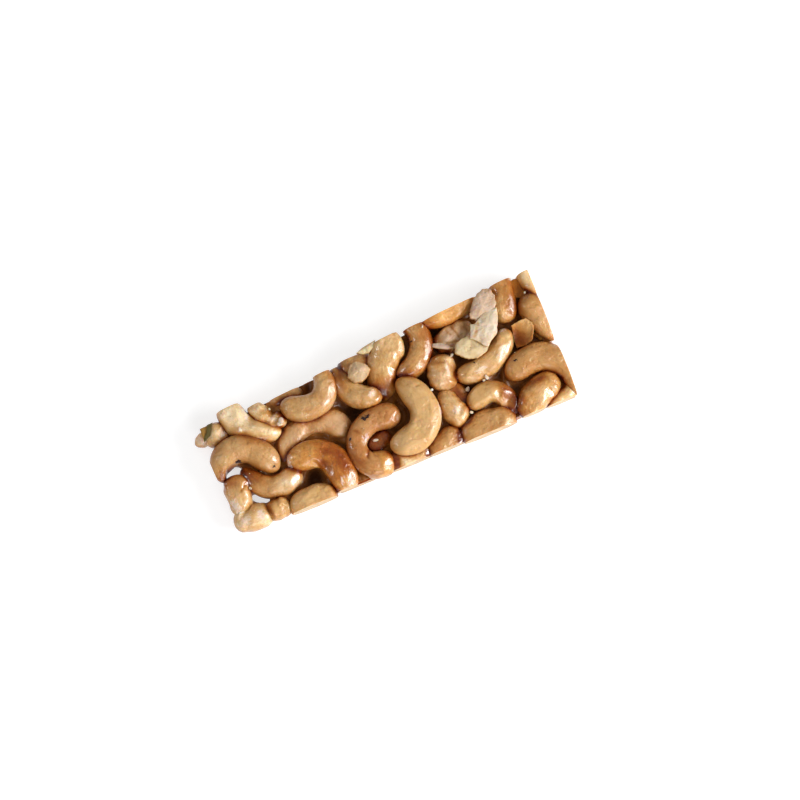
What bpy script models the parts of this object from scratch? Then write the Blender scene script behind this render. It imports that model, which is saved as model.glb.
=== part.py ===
"""Cashew bar: whole and broken cashew nuts held in a slab of hard brown caramel.

One solid in metres. +X runs along the bar, +Z is up and the flat underside lies at z = 0.
The bar is cut by hand on its four sides, so it is a little wider at its +X end.
"""
import math

import bmesh
import bpy
import numpy as np
from mathutils import Vector

MM = 0.001

# Corners of the bar seen from above, in mm: front left, front right, back right, back left.
CORNERS = [(-63.5, -19.8), (63.3, -23.2), (65.5, 24.4), (-63.5, 18.7)]
CUT_SPREAD = 0.35      # how far each nut's own cut lies in or out of the bar's side, mm

# Caramel slab under the nuts, mm.
SLAB_INSET = 0.6
SLAB_LEFT_INSET = 2.6
SLAB_TOP = 5.2
SLAB_WAVE = 0.8
SLAB_CELLS = (38, 14)
# Deep gaps between nuts where the caramel lies low: x, y, radius, depth.
POCKETS = [
    (-32.0, -12.8, 4.0, 3.6),
    (-9.8, 3.2, 3.6, 3.4),
    (16.0, 2.4, 3.2, 3.2),
    (27.0, 18.2, 3.0, 3.2),
    (28.6, -6.0, 2.8, 2.6),
]
# Holes right through the slab: x, y, length, width, turn in degrees.
HOLES = [
    (-56.9, 0.3, 5.0, 4.6, -12.0),
    (-52.7, -11.0, 7.4, 3.6, -38.0),
]

NUT_RINGS = 11
NUT_SEGMENTS = 10
CHIP_RINGS = 8
CHIP_SEGMENTS = 8
CHIP_LENGTH = 11.6     # pieces up to this length are broken bits and get fewer sides
END_ROUND = 3.4        # higher is blunter at a nut's two ends
LOWEST = 0.4           # nuts stay this far above the underside, mm
LUMP = 0.035           # unevenness of a nut's skin, as a part of its radius
SEED = 17

# One row for each piece, seen from above, in mm and degrees:
# name, x, y, z of the middle, heading there, length along the nut, bend radius (left is +,
# 0 is straight), width, height, taper (start thicker), hook (bends more towards its end),
# elbow (bends more in its middle), waist (thinner in the middle), point (end drawn in),
# rise (end higher), proud (how far past the bar's side).
NUTS = [
    ("big_left", -51.9, 7.1, 8.0, 162, 31.0, 8.0, 10.7, 10.5, 0.0, 0.7, 1.0, 0.0, 0.45, 0, -0.2),
    ("left_low", -47.7, -8.8, 6.0, -24, 24.5, 9.0, 8.7, 9.0, -0.15, 0.0, 1.1, 0.0, 0.0, 0, 0.0),
    ("corner_side", -59.0, -8.0, 6.0, -100, 16.2, 0.0, 9.0, 10.0, 0.3, 0.0, 0.0, 0.0, 0.0, 0, 0.4),
    ("corner_front", -57.4, -16.4, 5.5, -6, 14.2, 0.0, 9.2, 9.0, 0.0, 0.0, 0.0, 0.0, 0.0, 0, 1.0),
    ("corner_knob", -48.2, -17.1, 6.0, 3, 8.8, 0.0, 7.6, 8.5, 0.0, 0.0, 0.0, 0.0, 0.0, 0, 1.2),
    ("upper_left", -47.2, 13.2, 7.5, -50, 24.8, 15.0, 9.8, 9.5, 0.2, 0.0, 0.0, 0.0, 0.0, 0, 2.6),
    ("broken_gold", -39.6, 14.0, 7.2, -50, 14.8, 8.6, 7.3, 8.5, 0.0, 0.0, 0.0, 0.0, 0.0, 0, 0.0),
    ("c_nut", -20.4, 11.3, 9.6, 22, 28.5, 7.1, 9.3, 9.0, 0.17, 0.5, 1.4, 0.0, 0.0, 0, -1.2),
    ("shadow_nut", -27.5, 6.0, 5.8, 2, 33.0, -11.6, 12.0, 9.2, -0.16, 0.2, 0.1, 0.27, 0.0, 0, 0.0),
    ("ball_nut", -25.3, -7.7, 7.4, -52, 30.6, -9.0, 12.2, 10.5, -0.06, -0.4, 1.4, 0.09, 0.0, 0, 0.0),
    ("front_half_a", -36.0, -20.2, 6.5, -3, 17.4, -40.0, 12.0, 9.5, 0.0, 0.0, 0.0, 0.0, 0.0, 0, 0.5),
    ("question", -13.3, -6.2, 8.8, 232, 37.0, 8.2, 13.6, 11.5, 0.1, 0.6, 0.7, 0.42, 0.0, 0, 0.6),
    ("question_foot", -10.2, -17.3, 7.4, -8, 11.0, 0.0, 9.6, 9.6, 0.0, 0.0, 0.0, 0.0, 0.0, 0, 0.6),
    ("crescent", 11.0, -9.1, 10.6, -116, 34.5, -9.0, 11.3, 8.2, -0.05, 0.3, 1.4, 0.0, 0.0, 0, 0.0),
    ("back_arm", -9.0, 10.2, 8.0, -60, 23.2, 11.0, 8.7, 9.0, -0.08, 0.2, 0.0, 0.0, 0.0, 8, -0.9),
    ("big_mid", 4.9, 13.8, 8.0, -122, 25.2, 17.0, 11.8, 10.0, 0.2, 0.0, 0.0, 0.0, 0.0, -12, 0.0),
    ("right_curve", 19.9, 14.3, 8.3, 63.5, 28.0, 9.5, 9.0, 9.5, 0.0, 0.0, 0.0, 0.0, 0.0, 0, 0.0),
    ("oval_up", 23.2, 3.4, 8.0, 76, 13.2, 0.0, 10.6, 9.5, 0.0, 0.0, 0.0, 0.0, 0.0, 0, 0.0),
    ("oval_down", 21.3, -9.6, 7.3, -77, 14.4, 14.0, 9.2, 9.5, -0.18, 0.0, 0.0, 0.0, 0.0, 0, 0.0),
    ("side_shadow", 25.6, -6.6, 5.0, -80, 12.0, 0.0, 6.6, 8.0, 0.0, 0.0, 0.0, 0.0, 0.0, 0, 0.0),
    ("banana", 40.2, 0.0, 8.0, 20, 27.2, 17.0, 8.7, 9.0, 0.0, -0.1, 0.4, 0.0, 0.0, 0, 0.0),
    ("wrinkled", 32.0, 13.9, 7.0, 12, 16.0, -30.0, 8.5, 8.0, 0.0, 0.0, 0.0, 0.0, 0.0, 0, 0.0),
    ("back_half", 34.0, 23.4, 8.5, 3, 22.6, 26.0, 11.0, 9.5, 0.0, 0.0, 0.0, 0.0, 0.0, 0, 0.0),
    ("back_upright", 53.7, 19.4, 8.0, -105, 19.2, 0.0, 9.5, 9.5, -0.04, 0.0, 0.0, 0.0, 0.0, 0, 0.0),
    ("corner_strip", 64.8, 20.6, 8.0, -84, 15.0, 0.0, 7.0, 9.0, 0.0, 0.0, 0.0, 0.0, 0.0, 0, 0.0),
    ("right_edge", 62.4, 7.4, 8.0, -80, 19.2, 0.0, 9.0, 9.5, 0.36, 0.0, 0.0, 0.0, 0.0, 0, 0.0),
    ("small_piece", 55.2, 4.9, 6.5, -20, 9.2, 0.0, 8.0, 8.0, 0.0, 0.0, 0.0, 0.0, 0.0, 0, 0.0),
    ("big_right", 60.0, -7.6, 8.2, -36, 35.4, -12.3, 10.8, 9.5, 0.1, 0.0, 0.0, 0.0, 0.0, 0, 0.0),
    ("corner_low", 59.4, -21.2, 5.6, 14, 14.6, 0.0, 6.6, 8.0, 0.0, 0.0, 0.0, 0.0, 0.0, 0, 0.0),
    ("shiny_low", 50.6, -17.2, 7.6, 25, 19.6, -20.0, 11.0, 9.5, 0.0, 0.0, 0.0, 0.0, 0.0, 0, 0.0),
    ("hooked", 37.2, -10.6, 7.4, -32, 22.8, -6.0, 8.4, 9.0, 0.0, 0.0, 1.4, 0.0, 0.0, 0, 0.0),
    ("front_half_b", 30.2, -20.6, 7.4, -2, 20.8, -30.0, 12.0, 9.5, 0.0, 0.0, 0.0, 0.0, 0.0, 0, 0.9),
    ("front_wedge", 14.3, -19.8, 6.5, 12, 14.4, 0.0, 9.4, 8.5, 0.0, 0.0, 0.0, 0.0, 0.0, 0, 0.0),
    ("under_moon", 1.2, -19.0, 5.5, 0, 18.0, 0.0, 8.4, 8.0, 0.0, 0.0, 0.0, 0.0, 0.0, 0, 0.0),
    ("inner_bit", -6.6, -10.0, 5.8, 18, 10.0, 0.0, 6.6, 6.5, 0.0, 0.0, 0.0, 0.0, 0.0, 0, 0.0),
    ("far_tip", -62.3, 16.0, 5.0, 190, 7.6, 0.0, 5.4, 7.0, 0.2, 0.0, 0.0, 0.0, 0.3, 0, 3.0),
    ("back_knob", -57.8, 15.4, 6.2, 78, 9.2, 0.0, 8.8, 8.0, 0.0, 0.0, 0.0, 0.0, 0.0, 0, 0.6),
    ("back_strip", -30.4, 17.8, 5.8, 0, 13.0, 0.0, 5.4, 7.0, 0.0, 0.0, 0.0, 0.0, 0.0, 0, -0.9),
    ("pale_chip", -3.7, 14.6, 12.2, 20, 8.6, 0.0, 7.4, 4.4, 0.0, 0.0, 0.0, 0.0, 0.0, 0, 0.0),
    ("back_sliver", 2.6, 21.0, 11.4, 15, 9.2, 0.0, 3.6, 3.4, 0.0, 0.0, 0.0, 0.0, 0.0, 0, 0.3),
    ("flake_a", 45.4, 19.6, 11.8, 50, 11.4, 0.0, 9.2, 4.6, 0.0, 0.0, 0.0, 0.0, 0.0, 0, 0.0),
    ("flake_b", 43.6, 11.0, 12.2, 60, 11.4, 0.0, 10.2, 4.4, 0.0, 0.0, 0.0, 0.0, 0.0, 0, 0.0),
    ("flake_c", 35.6, 6.6, 12.0, -18, 11.6, 0.0, 8.2, 4.6, 0.0, 0.0, 0.0, 0.0, 0.0, 0, 0.0),
    ("grey_sliver", 27.2, 11.2, 10.4, -32, 7.6, 0.0, 2.8, 2.6, 0.0, 0.0, 0.0, 0.0, 0.0, 0, 0.0),
]


def clear_file():
    """Empty the file of every object, mesh and collection."""
    for item in list(bpy.data.objects):
        bpy.data.objects.remove(item, do_unlink=True)
    for mesh in list(bpy.data.meshes):
        bpy.data.meshes.remove(mesh)
    for group in list(bpy.data.collections):
        bpy.data.collections.remove(group)


def side_planes():
    """The bar's four upright sides, each as a point and an outward direction, in mm."""
    planes = []
    for index, start in enumerate(CORNERS):
        end = CORNERS[(index + 1) % 4]
        along = Vector((end[0] - start[0], end[1] - start[1], 0.0)).normalized()
        planes.append((Vector((start[0], start[1], 0.0)), Vector((along.y, -along.x, 0.0))))
    return planes


def nut_points(unit, row, random):
    """Carry a unit ball along a bent line.

    The ball's x axis becomes the way along the nut, t from -1 to 1. The line turns evenly,
    more towards its end with hook, or more in its middle with elbow. Half widths fall off as
    the root of 1 - |t| to a power.
    """
    _, x, y, z, heading, length, bend, width, height, taper, *shape = row
    hook, elbow, waist, point, rise, _ = shape
    t = unit[:, 0]
    around = np.arctan2(unit[:, 2], unit[:, 1])
    fine = np.linspace(-1.0, 1.0, 401)
    curve = 0.0 if bend == 0 else 1.0 / bend
    turn = curve * length / 2 * (fine + hook * fine ** 2 / 2 - elbow * fine ** 3 / 3)
    step = length / 400
    line_x = np.concatenate([[0.0], np.cumsum(np.cos((turn[1:] + turn[:-1]) / 2)) * step])
    line_y = np.concatenate([[0.0], np.cumsum(np.sin((turn[1:] + turn[:-1]) / 2)) * step])
    line_x -= line_x[200]
    line_y -= line_y[200]
    at_turn = np.interp(t, fine, turn)
    radius = np.sqrt(np.clip(1 - np.abs(t) ** END_ROUND, 0, 1))
    radius = radius * (1 - taper * t) * (1 - waist * (1 - t ** 2))
    radius = radius * (1 - point * np.maximum(t, 0) ** 3)
    phase = random.uniform(0, 2 * math.pi, 3)
    lumps = 1 + LUMP * (np.sin(3 * t + 2 * around + phase[0]) + np.sin(5 * t - around + phase[1]))
    side = radius * lumps * width / 2 * np.cos(around)
    up = radius * lumps * height / 2 * np.sin(around)
    flat_x = np.interp(t, fine, line_x) - side * np.sin(at_turn)
    flat_y = np.interp(t, fine, line_y) + side * np.cos(at_turn)
    up = up + t * length / 2 * math.tan(math.radians(rise))
    cos, sin = math.cos(math.radians(heading)), math.sin(math.radians(heading))
    points = np.stack([x + flat_x * cos - flat_y * sin, y + flat_x * sin + flat_y * cos, z + up], -1)
    points[:, 2] = np.maximum(points[:, 2], LOWEST + 0.1 * np.abs(t))
    return points


def cut_sides(bm, out):
    """Slice a closed mesh in mm by the bar's sides moved out by a distance, and close each cut."""
    for point, outward in side_planes():
        parts = list(bm.verts) + list(bm.edges) + list(bm.faces)
        bmesh.ops.bisect_plane(
            bm, geom=parts, dist=1e-5, plane_co=point + outward * out, plane_no=outward,
            clear_outer=True)
        rim = [edge for edge in bm.edges if edge.is_boundary]
        if rim:
            bmesh.ops.edgeloop_fill(bm, edges=rim)


def new_object(name, bm, group):
    """Write a mesh built in mm as an object in metres."""
    bmesh.ops.recalc_face_normals(bm, faces=list(bm.faces))
    bmesh.ops.scale(bm, vec=Vector((MM, MM, MM)), verts=list(bm.verts))
    mesh = bpy.data.meshes.new(name)
    bm.to_mesh(mesh)
    bm.free()
    item = bpy.data.objects.new(name, mesh)
    group.objects.link(item)
    return item


def make_nut(row, group, random):
    """One nut or broken piece, cut off where it meets the bar's sides."""
    small = row[5] <= CHIP_LENGTH
    bm = bmesh.new()
    bmesh.ops.create_uvsphere(
        bm, u_segments=CHIP_SEGMENTS if small else NUT_SEGMENTS,
        v_segments=CHIP_RINGS if small else NUT_RINGS, radius=1.0)
    # The ball's poles lie on z, so z is read as the way along.
    unit = np.array([(v.co.z, v.co.x, v.co.y) for v in bm.verts])
    for vert, place in zip(bm.verts, nut_points(unit, row, random)):
        vert.co = place
    spread = random.uniform(-CUT_SPREAD, CUT_SPREAD)
    cut_sides(bm, row[15] + spread)
    return new_object(row[0], bm, group)


def slab_top(x, y):
    """Height of the caramel at a place: slow waves, with a dip in each deep gap."""
    height = SLAB_TOP + SLAB_WAVE * (0.6 * math.sin(0.31 * x + 1.0) * math.cos(0.27 * y)
                                     + 0.4 * math.sin(0.83 * x - 0.52 * y))
    for px, py, radius, depth in POCKETS:
        height -= depth * math.exp(-((x - px) ** 2 + (y - py) ** 2) / radius ** 2)
    return height


def make_slab(group):
    """The caramel: a grid laid over the bar's outline, waved on top and flat underneath."""
    left, right = CORNERS[0][0] + SLAB_LEFT_INSET, CORNERS[1][0] - SLAB_INSET
    lean = CORNERS[2][0] - CORNERS[1][0]
    bm = bmesh.new()
    bmesh.ops.create_grid(bm, x_segments=SLAB_CELLS[0], y_segments=SLAB_CELLS[1], size=1.0)
    for vert in bm.verts:
        along, across = (vert.co.x + 1) / 2, (vert.co.y + 1) / 2
        low = CORNERS[0][1] + (CORNERS[1][1] - CORNERS[0][1]) * along + SLAB_INSET
        high = CORNERS[3][1] + (CORNERS[2][1] - CORNERS[3][1]) * along - SLAB_INSET
        x = left + (right - left + lean * across) * along
        y = low + (high - low) * across
        vert.co = (x, y, slab_top(x, y))
    rim = [edge for edge in bm.edges if edge.is_boundary]
    skirt = bmesh.ops.extrude_edge_only(bm, edges=rim)["geom"]
    for part in skirt:
        if isinstance(part, bmesh.types.BMVert):
            part.co.z = 0.0
    bmesh.ops.edgeloop_fill(bm, edges=[edge for edge in bm.edges if edge.is_boundary])
    return new_object("cashew_bar", bm, group)


def make_hole_cutter(index, row, group):
    """An upright rounded bar that opens one hole through the caramel."""
    x, y, length, width, turn = row
    bm = bmesh.new()
    bmesh.ops.create_cone(
        bm, cap_ends=True, segments=12, radius1=0.5, radius2=0.5, depth=30.0)
    cos, sin = math.cos(math.radians(turn)), math.sin(math.radians(turn))
    for vert in bm.verts:
        along, across = vert.co.x * length, vert.co.y * width
        vert.co = (x + along * cos - across * sin, y + along * sin + across * cos, vert.co.z)
    cutter = new_object(f"hole_cutter_{index}", bm, group)
    cutter.hide_render = True
    cutter.display_type = "WIRE"
    return cutter


def combine(base, group, operation):
    """Join or cut the base with everything in a collection, apply it and drop the collection."""
    step = base.modifiers.new(operation.lower(), "BOOLEAN")
    step.operation = operation
    step.operand_type = "COLLECTION"
    step.collection = group
    step.solver = "EXACT"
    graph = bpy.context.evaluated_depsgraph_get()
    mesh = bpy.data.meshes.new_from_object(base.evaluated_get(graph))
    old = base.data
    base.modifiers.clear()
    base.data = mesh
    bpy.data.meshes.remove(old)
    for item in list(group.objects):
        bpy.data.objects.remove(item, do_unlink=True)
    bpy.data.collections.remove(group)


def keep_main_body(item):
    """Drop loose scraps and fill sealed hollows: only the largest connected skin stays."""
    bm = bmesh.new()
    bm.from_mesh(item.data)
    todo = set(bm.faces)
    skins = []
    while todo:
        skin, edge_faces = set(), [todo.pop()]
        while edge_faces:
            face = edge_faces.pop()
            skin.add(face)
            for edge in face.edges:
                for other in edge.link_faces:
                    if other in todo:
                        todo.discard(other)
                        edge_faces.append(other)
        skins.append(skin)
    largest = max(skins, key=lambda skin: sum(face.calc_area() for face in skin))
    spare = [face for skin in skins if skin is not largest for face in skin]
    bmesh.ops.delete(bm, geom=spare, context="FACES")
    bmesh.ops.triangulate(bm, faces=list(bm.faces))
    bm.to_mesh(item.data)
    bm.free()


def centre_on_origin(item):
    """Move the mesh so that the middle of its box, seen from above, is over the origin."""
    places = np.array([vert.co[:] for vert in item.data.vertices])
    middle = (places.min(axis=0) + places.max(axis=0)) / 2
    middle[2] = 0.0
    for vert in item.data.vertices:
        vert.co -= Vector(middle)


def nut_material():
    """Roasted nut in a thin coat of caramel."""
    material = bpy.data.materials.new("coated_nut")
    material.use_nodes = True
    shader = material.node_tree.nodes["Principled BSDF"]
    shader.inputs["Base Color"].default_value = (0.52, 0.30, 0.13, 1.0)
    shader.inputs["Roughness"].default_value = 0.35
    shader.inputs["Coat Weight"].default_value = 0.4
    return material


def build():
    """Make the whole bar."""
    clear_file()
    scene = bpy.context.scene
    random = np.random.default_rng(SEED)
    slab = make_slab(scene.collection)
    holes = bpy.data.collections.new("hole_cutters")
    scene.collection.children.link(holes)
    for index, row in enumerate(HOLES):
        make_hole_cutter(index, row, holes)
    combine(slab, holes, "DIFFERENCE")
    nuts = bpy.data.collections.new("nuts")
    scene.collection.children.link(nuts)
    for row in NUTS:
        make_nut(row, nuts, random)
    combine(slab, nuts, "UNION")
    keep_main_body(slab)
    centre_on_origin(slab)
    slab.data.materials.clear()
    slab.data.materials.append(nut_material())
    for face in slab.data.polygons:
        face.material_index = 0
        face.use_smooth = True
    slab.data.name = "cashew_bar"


build()
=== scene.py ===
"""A cashew bar seen from above: cashew nuts held in hard brown caramel, on a pale floor.

Shapes are worked out in mm in the bar's own layout, then written in metres. Each nut is a
surface of two parameters: t runs -1 to 1 along it, and a goes once around it.
"""

import math
from collections import namedtuple

import bmesh
import bpy
import numpy as np
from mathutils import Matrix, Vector


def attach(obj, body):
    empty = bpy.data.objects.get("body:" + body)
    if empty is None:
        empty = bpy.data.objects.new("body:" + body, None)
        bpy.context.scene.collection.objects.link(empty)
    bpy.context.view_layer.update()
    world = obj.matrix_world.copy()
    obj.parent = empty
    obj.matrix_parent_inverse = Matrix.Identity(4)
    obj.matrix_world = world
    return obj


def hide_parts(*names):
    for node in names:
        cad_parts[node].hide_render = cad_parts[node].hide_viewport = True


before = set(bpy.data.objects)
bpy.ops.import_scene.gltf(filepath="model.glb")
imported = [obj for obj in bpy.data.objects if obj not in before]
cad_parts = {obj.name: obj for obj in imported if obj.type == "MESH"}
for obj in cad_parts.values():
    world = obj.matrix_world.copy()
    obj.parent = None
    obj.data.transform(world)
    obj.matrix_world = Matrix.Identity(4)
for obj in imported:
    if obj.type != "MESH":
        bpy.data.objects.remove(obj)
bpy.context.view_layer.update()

MM = 0.001
LAYOUT_SHIFT = np.array([0.37, -0.27, 0.0])  # layout to frame, mm
FAR = 1e3  # longer than any gap

# Lengths are in mm and angles in degrees. A place is x, y in the layout, seen from above.
# ---- the bar's outline and slab
CORNERS = [(-63.5, -19.8), (63.3, -23.2), (65.5, 24.4), (-63.5, 18.7)]
SLAB_INSET = 0.95  # how far the slab's walls lie inside the bar's sides
SLAB_LEFT_INSET = 4.2  # and inside its left end
SLAB_TOP = 5.2  # level of the caramel before waves, gaps and creep
SLAB_WAVE, SLAB_RIPPLE = 0.8, 0.12
SLAB_FLOOR = 0.1  # height of the underside
SLAB_LEAST = 0.8  # least height of the upper sheet
SLAB_STEP = 0.45  # size of the grid's cells
SLAB_SPAN = 45  # width that the number of cells across is worked out from
SLAB_SHARP = 50  # an edge that turns by more than this stays sharp
LEFT_REACH, LEFT_DROP = 3.0, 2.6  # how far the ragged left end reaches in, and comes down
WALL_LEVELS, WALL_PUSH = 5, 0.3
HOLE_OPEN = 0.82  # share of a hole's radius inside which the grid is left open
# Deep gaps: place, radius, depth.
POCKETS = [
    (-32, -12.8, 4, 3.6), (-9.8, 3.2, 3.6, 3.4), (16, 2.4, 3.2, 3.2), (27, 18.2, 3, 3.2),
    (28.6, -6, 2.8, 2.6),
]
# Holes right through: place, length, width, turn.
HOLES = [(-58.1, 0.7, 8.4, 5.8, -12), (-52.7, -11, 7.4, 3.6, -38)]
MENISCUS, MENISCUS_REACH = 1.7, 1.3  # how high the caramel creeps up by a nut, and how far off
# Colour as linear light where the caramel is dark, which in the deep gaps is painted shade, and
# where it is thin. That of the walls and the underside lies 1.8 times as far from the first as the
# second does.
SLAB_DEEP, SLAB_THIN = np.array([[0.09, 0.033, 0.012], [0.21, 0.068, 0.009]])
SLAB_WALLS = 1.8

# ---- the nuts
NUT_RINGS, NUT_SIDES = 66, 56
LINE_STEPS = 400  # steps that a nut's middle line is summed in
END_ROUND = 3.4  # 2 makes round ends, more makes them fuller
SECTION_POWER = 2.35  # 2 is an ellipse, more is fuller at the shoulders
KIDNEY = 0.09  # how much the side inside the bend is drawn in
SKIN_WAVES, SKIN_DENTS = 7, 2
UNEVEN = 0.021  # unevenness of a skin, as a share of the radius
UNEVEN_OWN = {"wrinkled": 0.036, "broken_gold": 0.034, "crescent": 0.018, "c_nut": 0.02}
LOWEST = 0.4  # least height of a nut's points
CUT_SPREAD = 0.35  # how far one nut's cut may lie in or out from the bar's side
CUT_RIM, CUT_SINK = 0.32, -0.06  # width of a cut's rim, and height of the face inside it
PRESS_HEIGHT = 2.0  # marks come in over this height above a nut's middle

# The lower layer: nuts scattered at random, as many as find a place in this number of tries.
UNDER_TRIES = 1500
UNDER_X, UNDER_Y = (-54, 60), (-20, 21)
UNDER_APART = 11.0  # least distance between their middles
UNDER_EDGE, UNDER_EDGE_APART = 12, 10.0  # and beyond 12 from the bar's middle line
UNDER_CLEAR = 9.5  # least distance from the middle of a gap or hole
UNDER_RINGS, UNDER_SIDES, UNDER_UNEVEN = 20, 18, 0.02
UNDER_LOWEST, UNDER_COVER = 0.02, 0.25  # their least height, and the caramel over them
UNDER_CUT, UNDER_SEAT = -0.55, 0.25  # how far out their cuts lie, and up to how much further

# Nuts on top: place and height of the middle and the heading there, length along the nut, bend
# radius (left is +, 0 is straight), width, height, tone, gloss and the thickness of its coat of
# caramel. Then what it has of taper (start thicker), hook (bends more towards its end), elbow
# (bends more in its middle), waist (thinner in the middle), point (end drawn in), rise (end
# higher) and proud (how far past the bar's side).
Nut = namedtuple("Nut", "name x y z heading length bend width height tone gloss coat taper hook "
                        "elbow waist point rise proud", defaults=(None,) + (0,) * 9)
NUTS = [
    Nut("big_left", -51.9, 7.1, 8, 162, 31, 8, 10.7, 10.5, "tan", 0.4, 0.02, hook=0.7, elbow=1,
        point=0.45, proud=-0.2),
    Nut("left_low", -47.7, -8.8, 6, -24, 24.5, 9, 8.7, 9, "tan", 0.6, -0.02, taper=-0.15,
        elbow=1.1),
    Nut("corner_side", -59, -8, 6, -100, 16.2, 0, 9, 10, "light", 0.65, 0.06, taper=0.3,
        proud=0.4),
    Nut("corner_front", -57.4, -16.4, 5.5, -6, 14.2, 0, 9.2, 9, "light", 0.75, -0.16, proud=1),
    Nut("corner_knob", -48.2, -17.1, 6, 3, 8.8, 0, 7.6, 8.5, "light", 0.5, 0.14, proud=1.2),
    Nut("upper_left", -47.2, 13.2, 7.5, -50, 24.8, 15, 9.8, 9.5, "cream", 0.6, -0.08, taper=0.2,
        proud=2.6),
    Nut("broken_gold", -39.6, 14, 7.2, -50, 14.8, 8.6, 7.3, 8.5, "light", 0.95, -0.2),
    Nut("c_nut", -20.4, 11.3, 9.6, 22, 28.5, 7.1, 9.3, 9, "tan", 0.55, 0, taper=0.17, hook=0.5,
        elbow=1.4, proud=-1.2),
    Nut("shadow_nut", -27.5, 6, 5.8, 2, 33, -11.6, 12, 9.2, "rose", 0.25, 0, taper=-0.16, hook=0.2,
        elbow=0.1, waist=0.27),
    Nut("ball_nut", -25.3, -7.7, 7.4, -52, 30.6, -9, 12.2, 10.5, "gold", 1, 0.04, taper=-0.06,
        hook=-0.4, elbow=1.4, waist=0.09),
    Nut("front_half_a", -36, -20.2, 6.5, -3, 17.4, -40, 12, 9.5, "light", 0.35, 0.08, proud=0.5),
    Nut("question", -13.3, -6.2, 8.8, 232, 37, 8.2, 13.6, 11.5, "orange", 0.6, 0.1, taper=0.1,
        hook=0.6, elbow=0.7, waist=0.42, proud=0.6),
    Nut("question_foot", -10.2, -17.3, 7.4, -8, 11, 0, 9.6, 9.6, "gold", 0.6, 0.08, proud=0.6),
    Nut("crescent", 11, -9.1, 10.6, -116, 34.5, -9, 11.3, 8.2, "straw", 0.15, 0.04, taper=-0.05,
        hook=0.3, elbow=1.4),
    Nut("back_arm", -9, 10.2, 8, -60, 23.2, 11, 8.7, 9, "straw", 0.65, 0, taper=-0.08, hook=0.2,
        rise=8, proud=-0.9),
    Nut("big_mid", 4.9, 13.8, 8, -122, 25.2, 17, 11.8, 10, "straw", 0.65, -0.05, taper=0.2,
        rise=-12),
    Nut("right_curve", 19.9, 14.3, 8.3, 63.5, 28, 9.5, 9, 9.5, "tan", 0.8, 0.08),
    Nut("oval_up", 23.2, 3.4, 8, 76, 13.2, 0, 10.6, 9.5, "tan", 0.75, -0.16),
    Nut("oval_down", 21.3, -9.6, 7.3, -77, 14.4, 14, 9.2, 9.5, "light", 0.8, -0.02, taper=-0.18),
    Nut("side_shadow", 25.6, -6.6, 5, -80, 12, 0, 6.6, 8, "tan", 0.6, 0.15),
    Nut("banana", 40.2, 0, 8, 20, 27.2, 17, 8.7, 9, "light", 0.8, 0.03, hook=-0.1, elbow=0.4),
    Nut("wrinkled", 32, 13.9, 7, 12, 16, -30, 8.5, 8, "rose", 0.5, -0.16),
    Nut("back_half", 34, 23.4, 8.5, 3, 22.6, 26, 11, 9.5, "gold", 0.4, 0.06),
    Nut("back_upright", 53.7, 19.4, 8, -105, 19.2, 0, 9.5, 9.5, "straw", 0.7, 0.08, taper=-0.04),
    Nut("corner_strip", 64.8, 20.6, 8, -84, 15, 0, 7, 9, "cream", 0.3, 0),
    Nut("right_edge", 62.4, 7.4, 8, -80, 19.2, 0, 9, 9.5, "tan", 0.3, 0.06, taper=0.36),
    Nut("big_right", 60, -7.6, 8.2, -36, 35.4, -12.3, 10.8, 9.5, "tan", 0.35, 0.12, taper=0.1),
    Nut("corner_low", 59.4, -21.2, 5.6, 14, 14.6, 0, 6.6, 8, "light", 0.5, -0.08),
    Nut("shiny_low", 50.6, -17.2, 7.6, 25, 19.6, -20, 11, 9.5, "straw", 1, -0.04),
    Nut("hooked", 37.2, -10.6, 7.4, -32, 22.8, -6, 8.4, 9, "straw", 0.4, 0, elbow=1.4, rise=-7),
    Nut("front_half_b", 30.2, -20.6, 7.4, -2, 20.8, -30, 12, 9.5, "tan", 0.4, 0.08, proud=0.9),
    Nut("front_wedge", 14.3, -19.8, 6.5, 12, 14.4, 0, 9.4, 8.5, "tan", 0.5, 0.1),
    Nut("under_moon", 1.2, -19, 5.5, 0, 18, 0, 8.4, 8, "straw", 0.8, -0.3),
    Nut("inner_bit", -6.6, -10, 5.8, 18, 10, 0, 6.6, 6.5, "tan", 1, 0.75),
    Nut("far_tip", -62.3, 16, 5, 190, 7.6, 0, 5.4, 7, "rose", 0.3, -0.3, taper=0.2, point=0.3,
        proud=3),
    Nut("back_knob", -57.8, 15.4, 6.2, 78, 9.2, 0, 8.8, 8, "light", 0.6, -0.1, proud=0.6),
    Nut("back_strip", -30.4, 17.8, 5.8, 0, 13, 0, 5.4, 7, "tan", 0.5, -0.1, proud=-0.9),
    Nut("back_low", -3.4, 17.6, 6.4, -12, 13.6, 0, 9.4, 8, "tan", 0.4, 0, proud=-0.1),
]

# Broken pieces and flakes: height of the rim's top, thickness, swell of the middle, slopes along
# x and y, tone, gloss, coat and the outline's corners.
Plate = namedtuple("Plate", "name top thick swell slope_x slope_y tone gloss coat corners")
RIM_POINTS = 96
RIM_JAG = 0.0045
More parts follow.
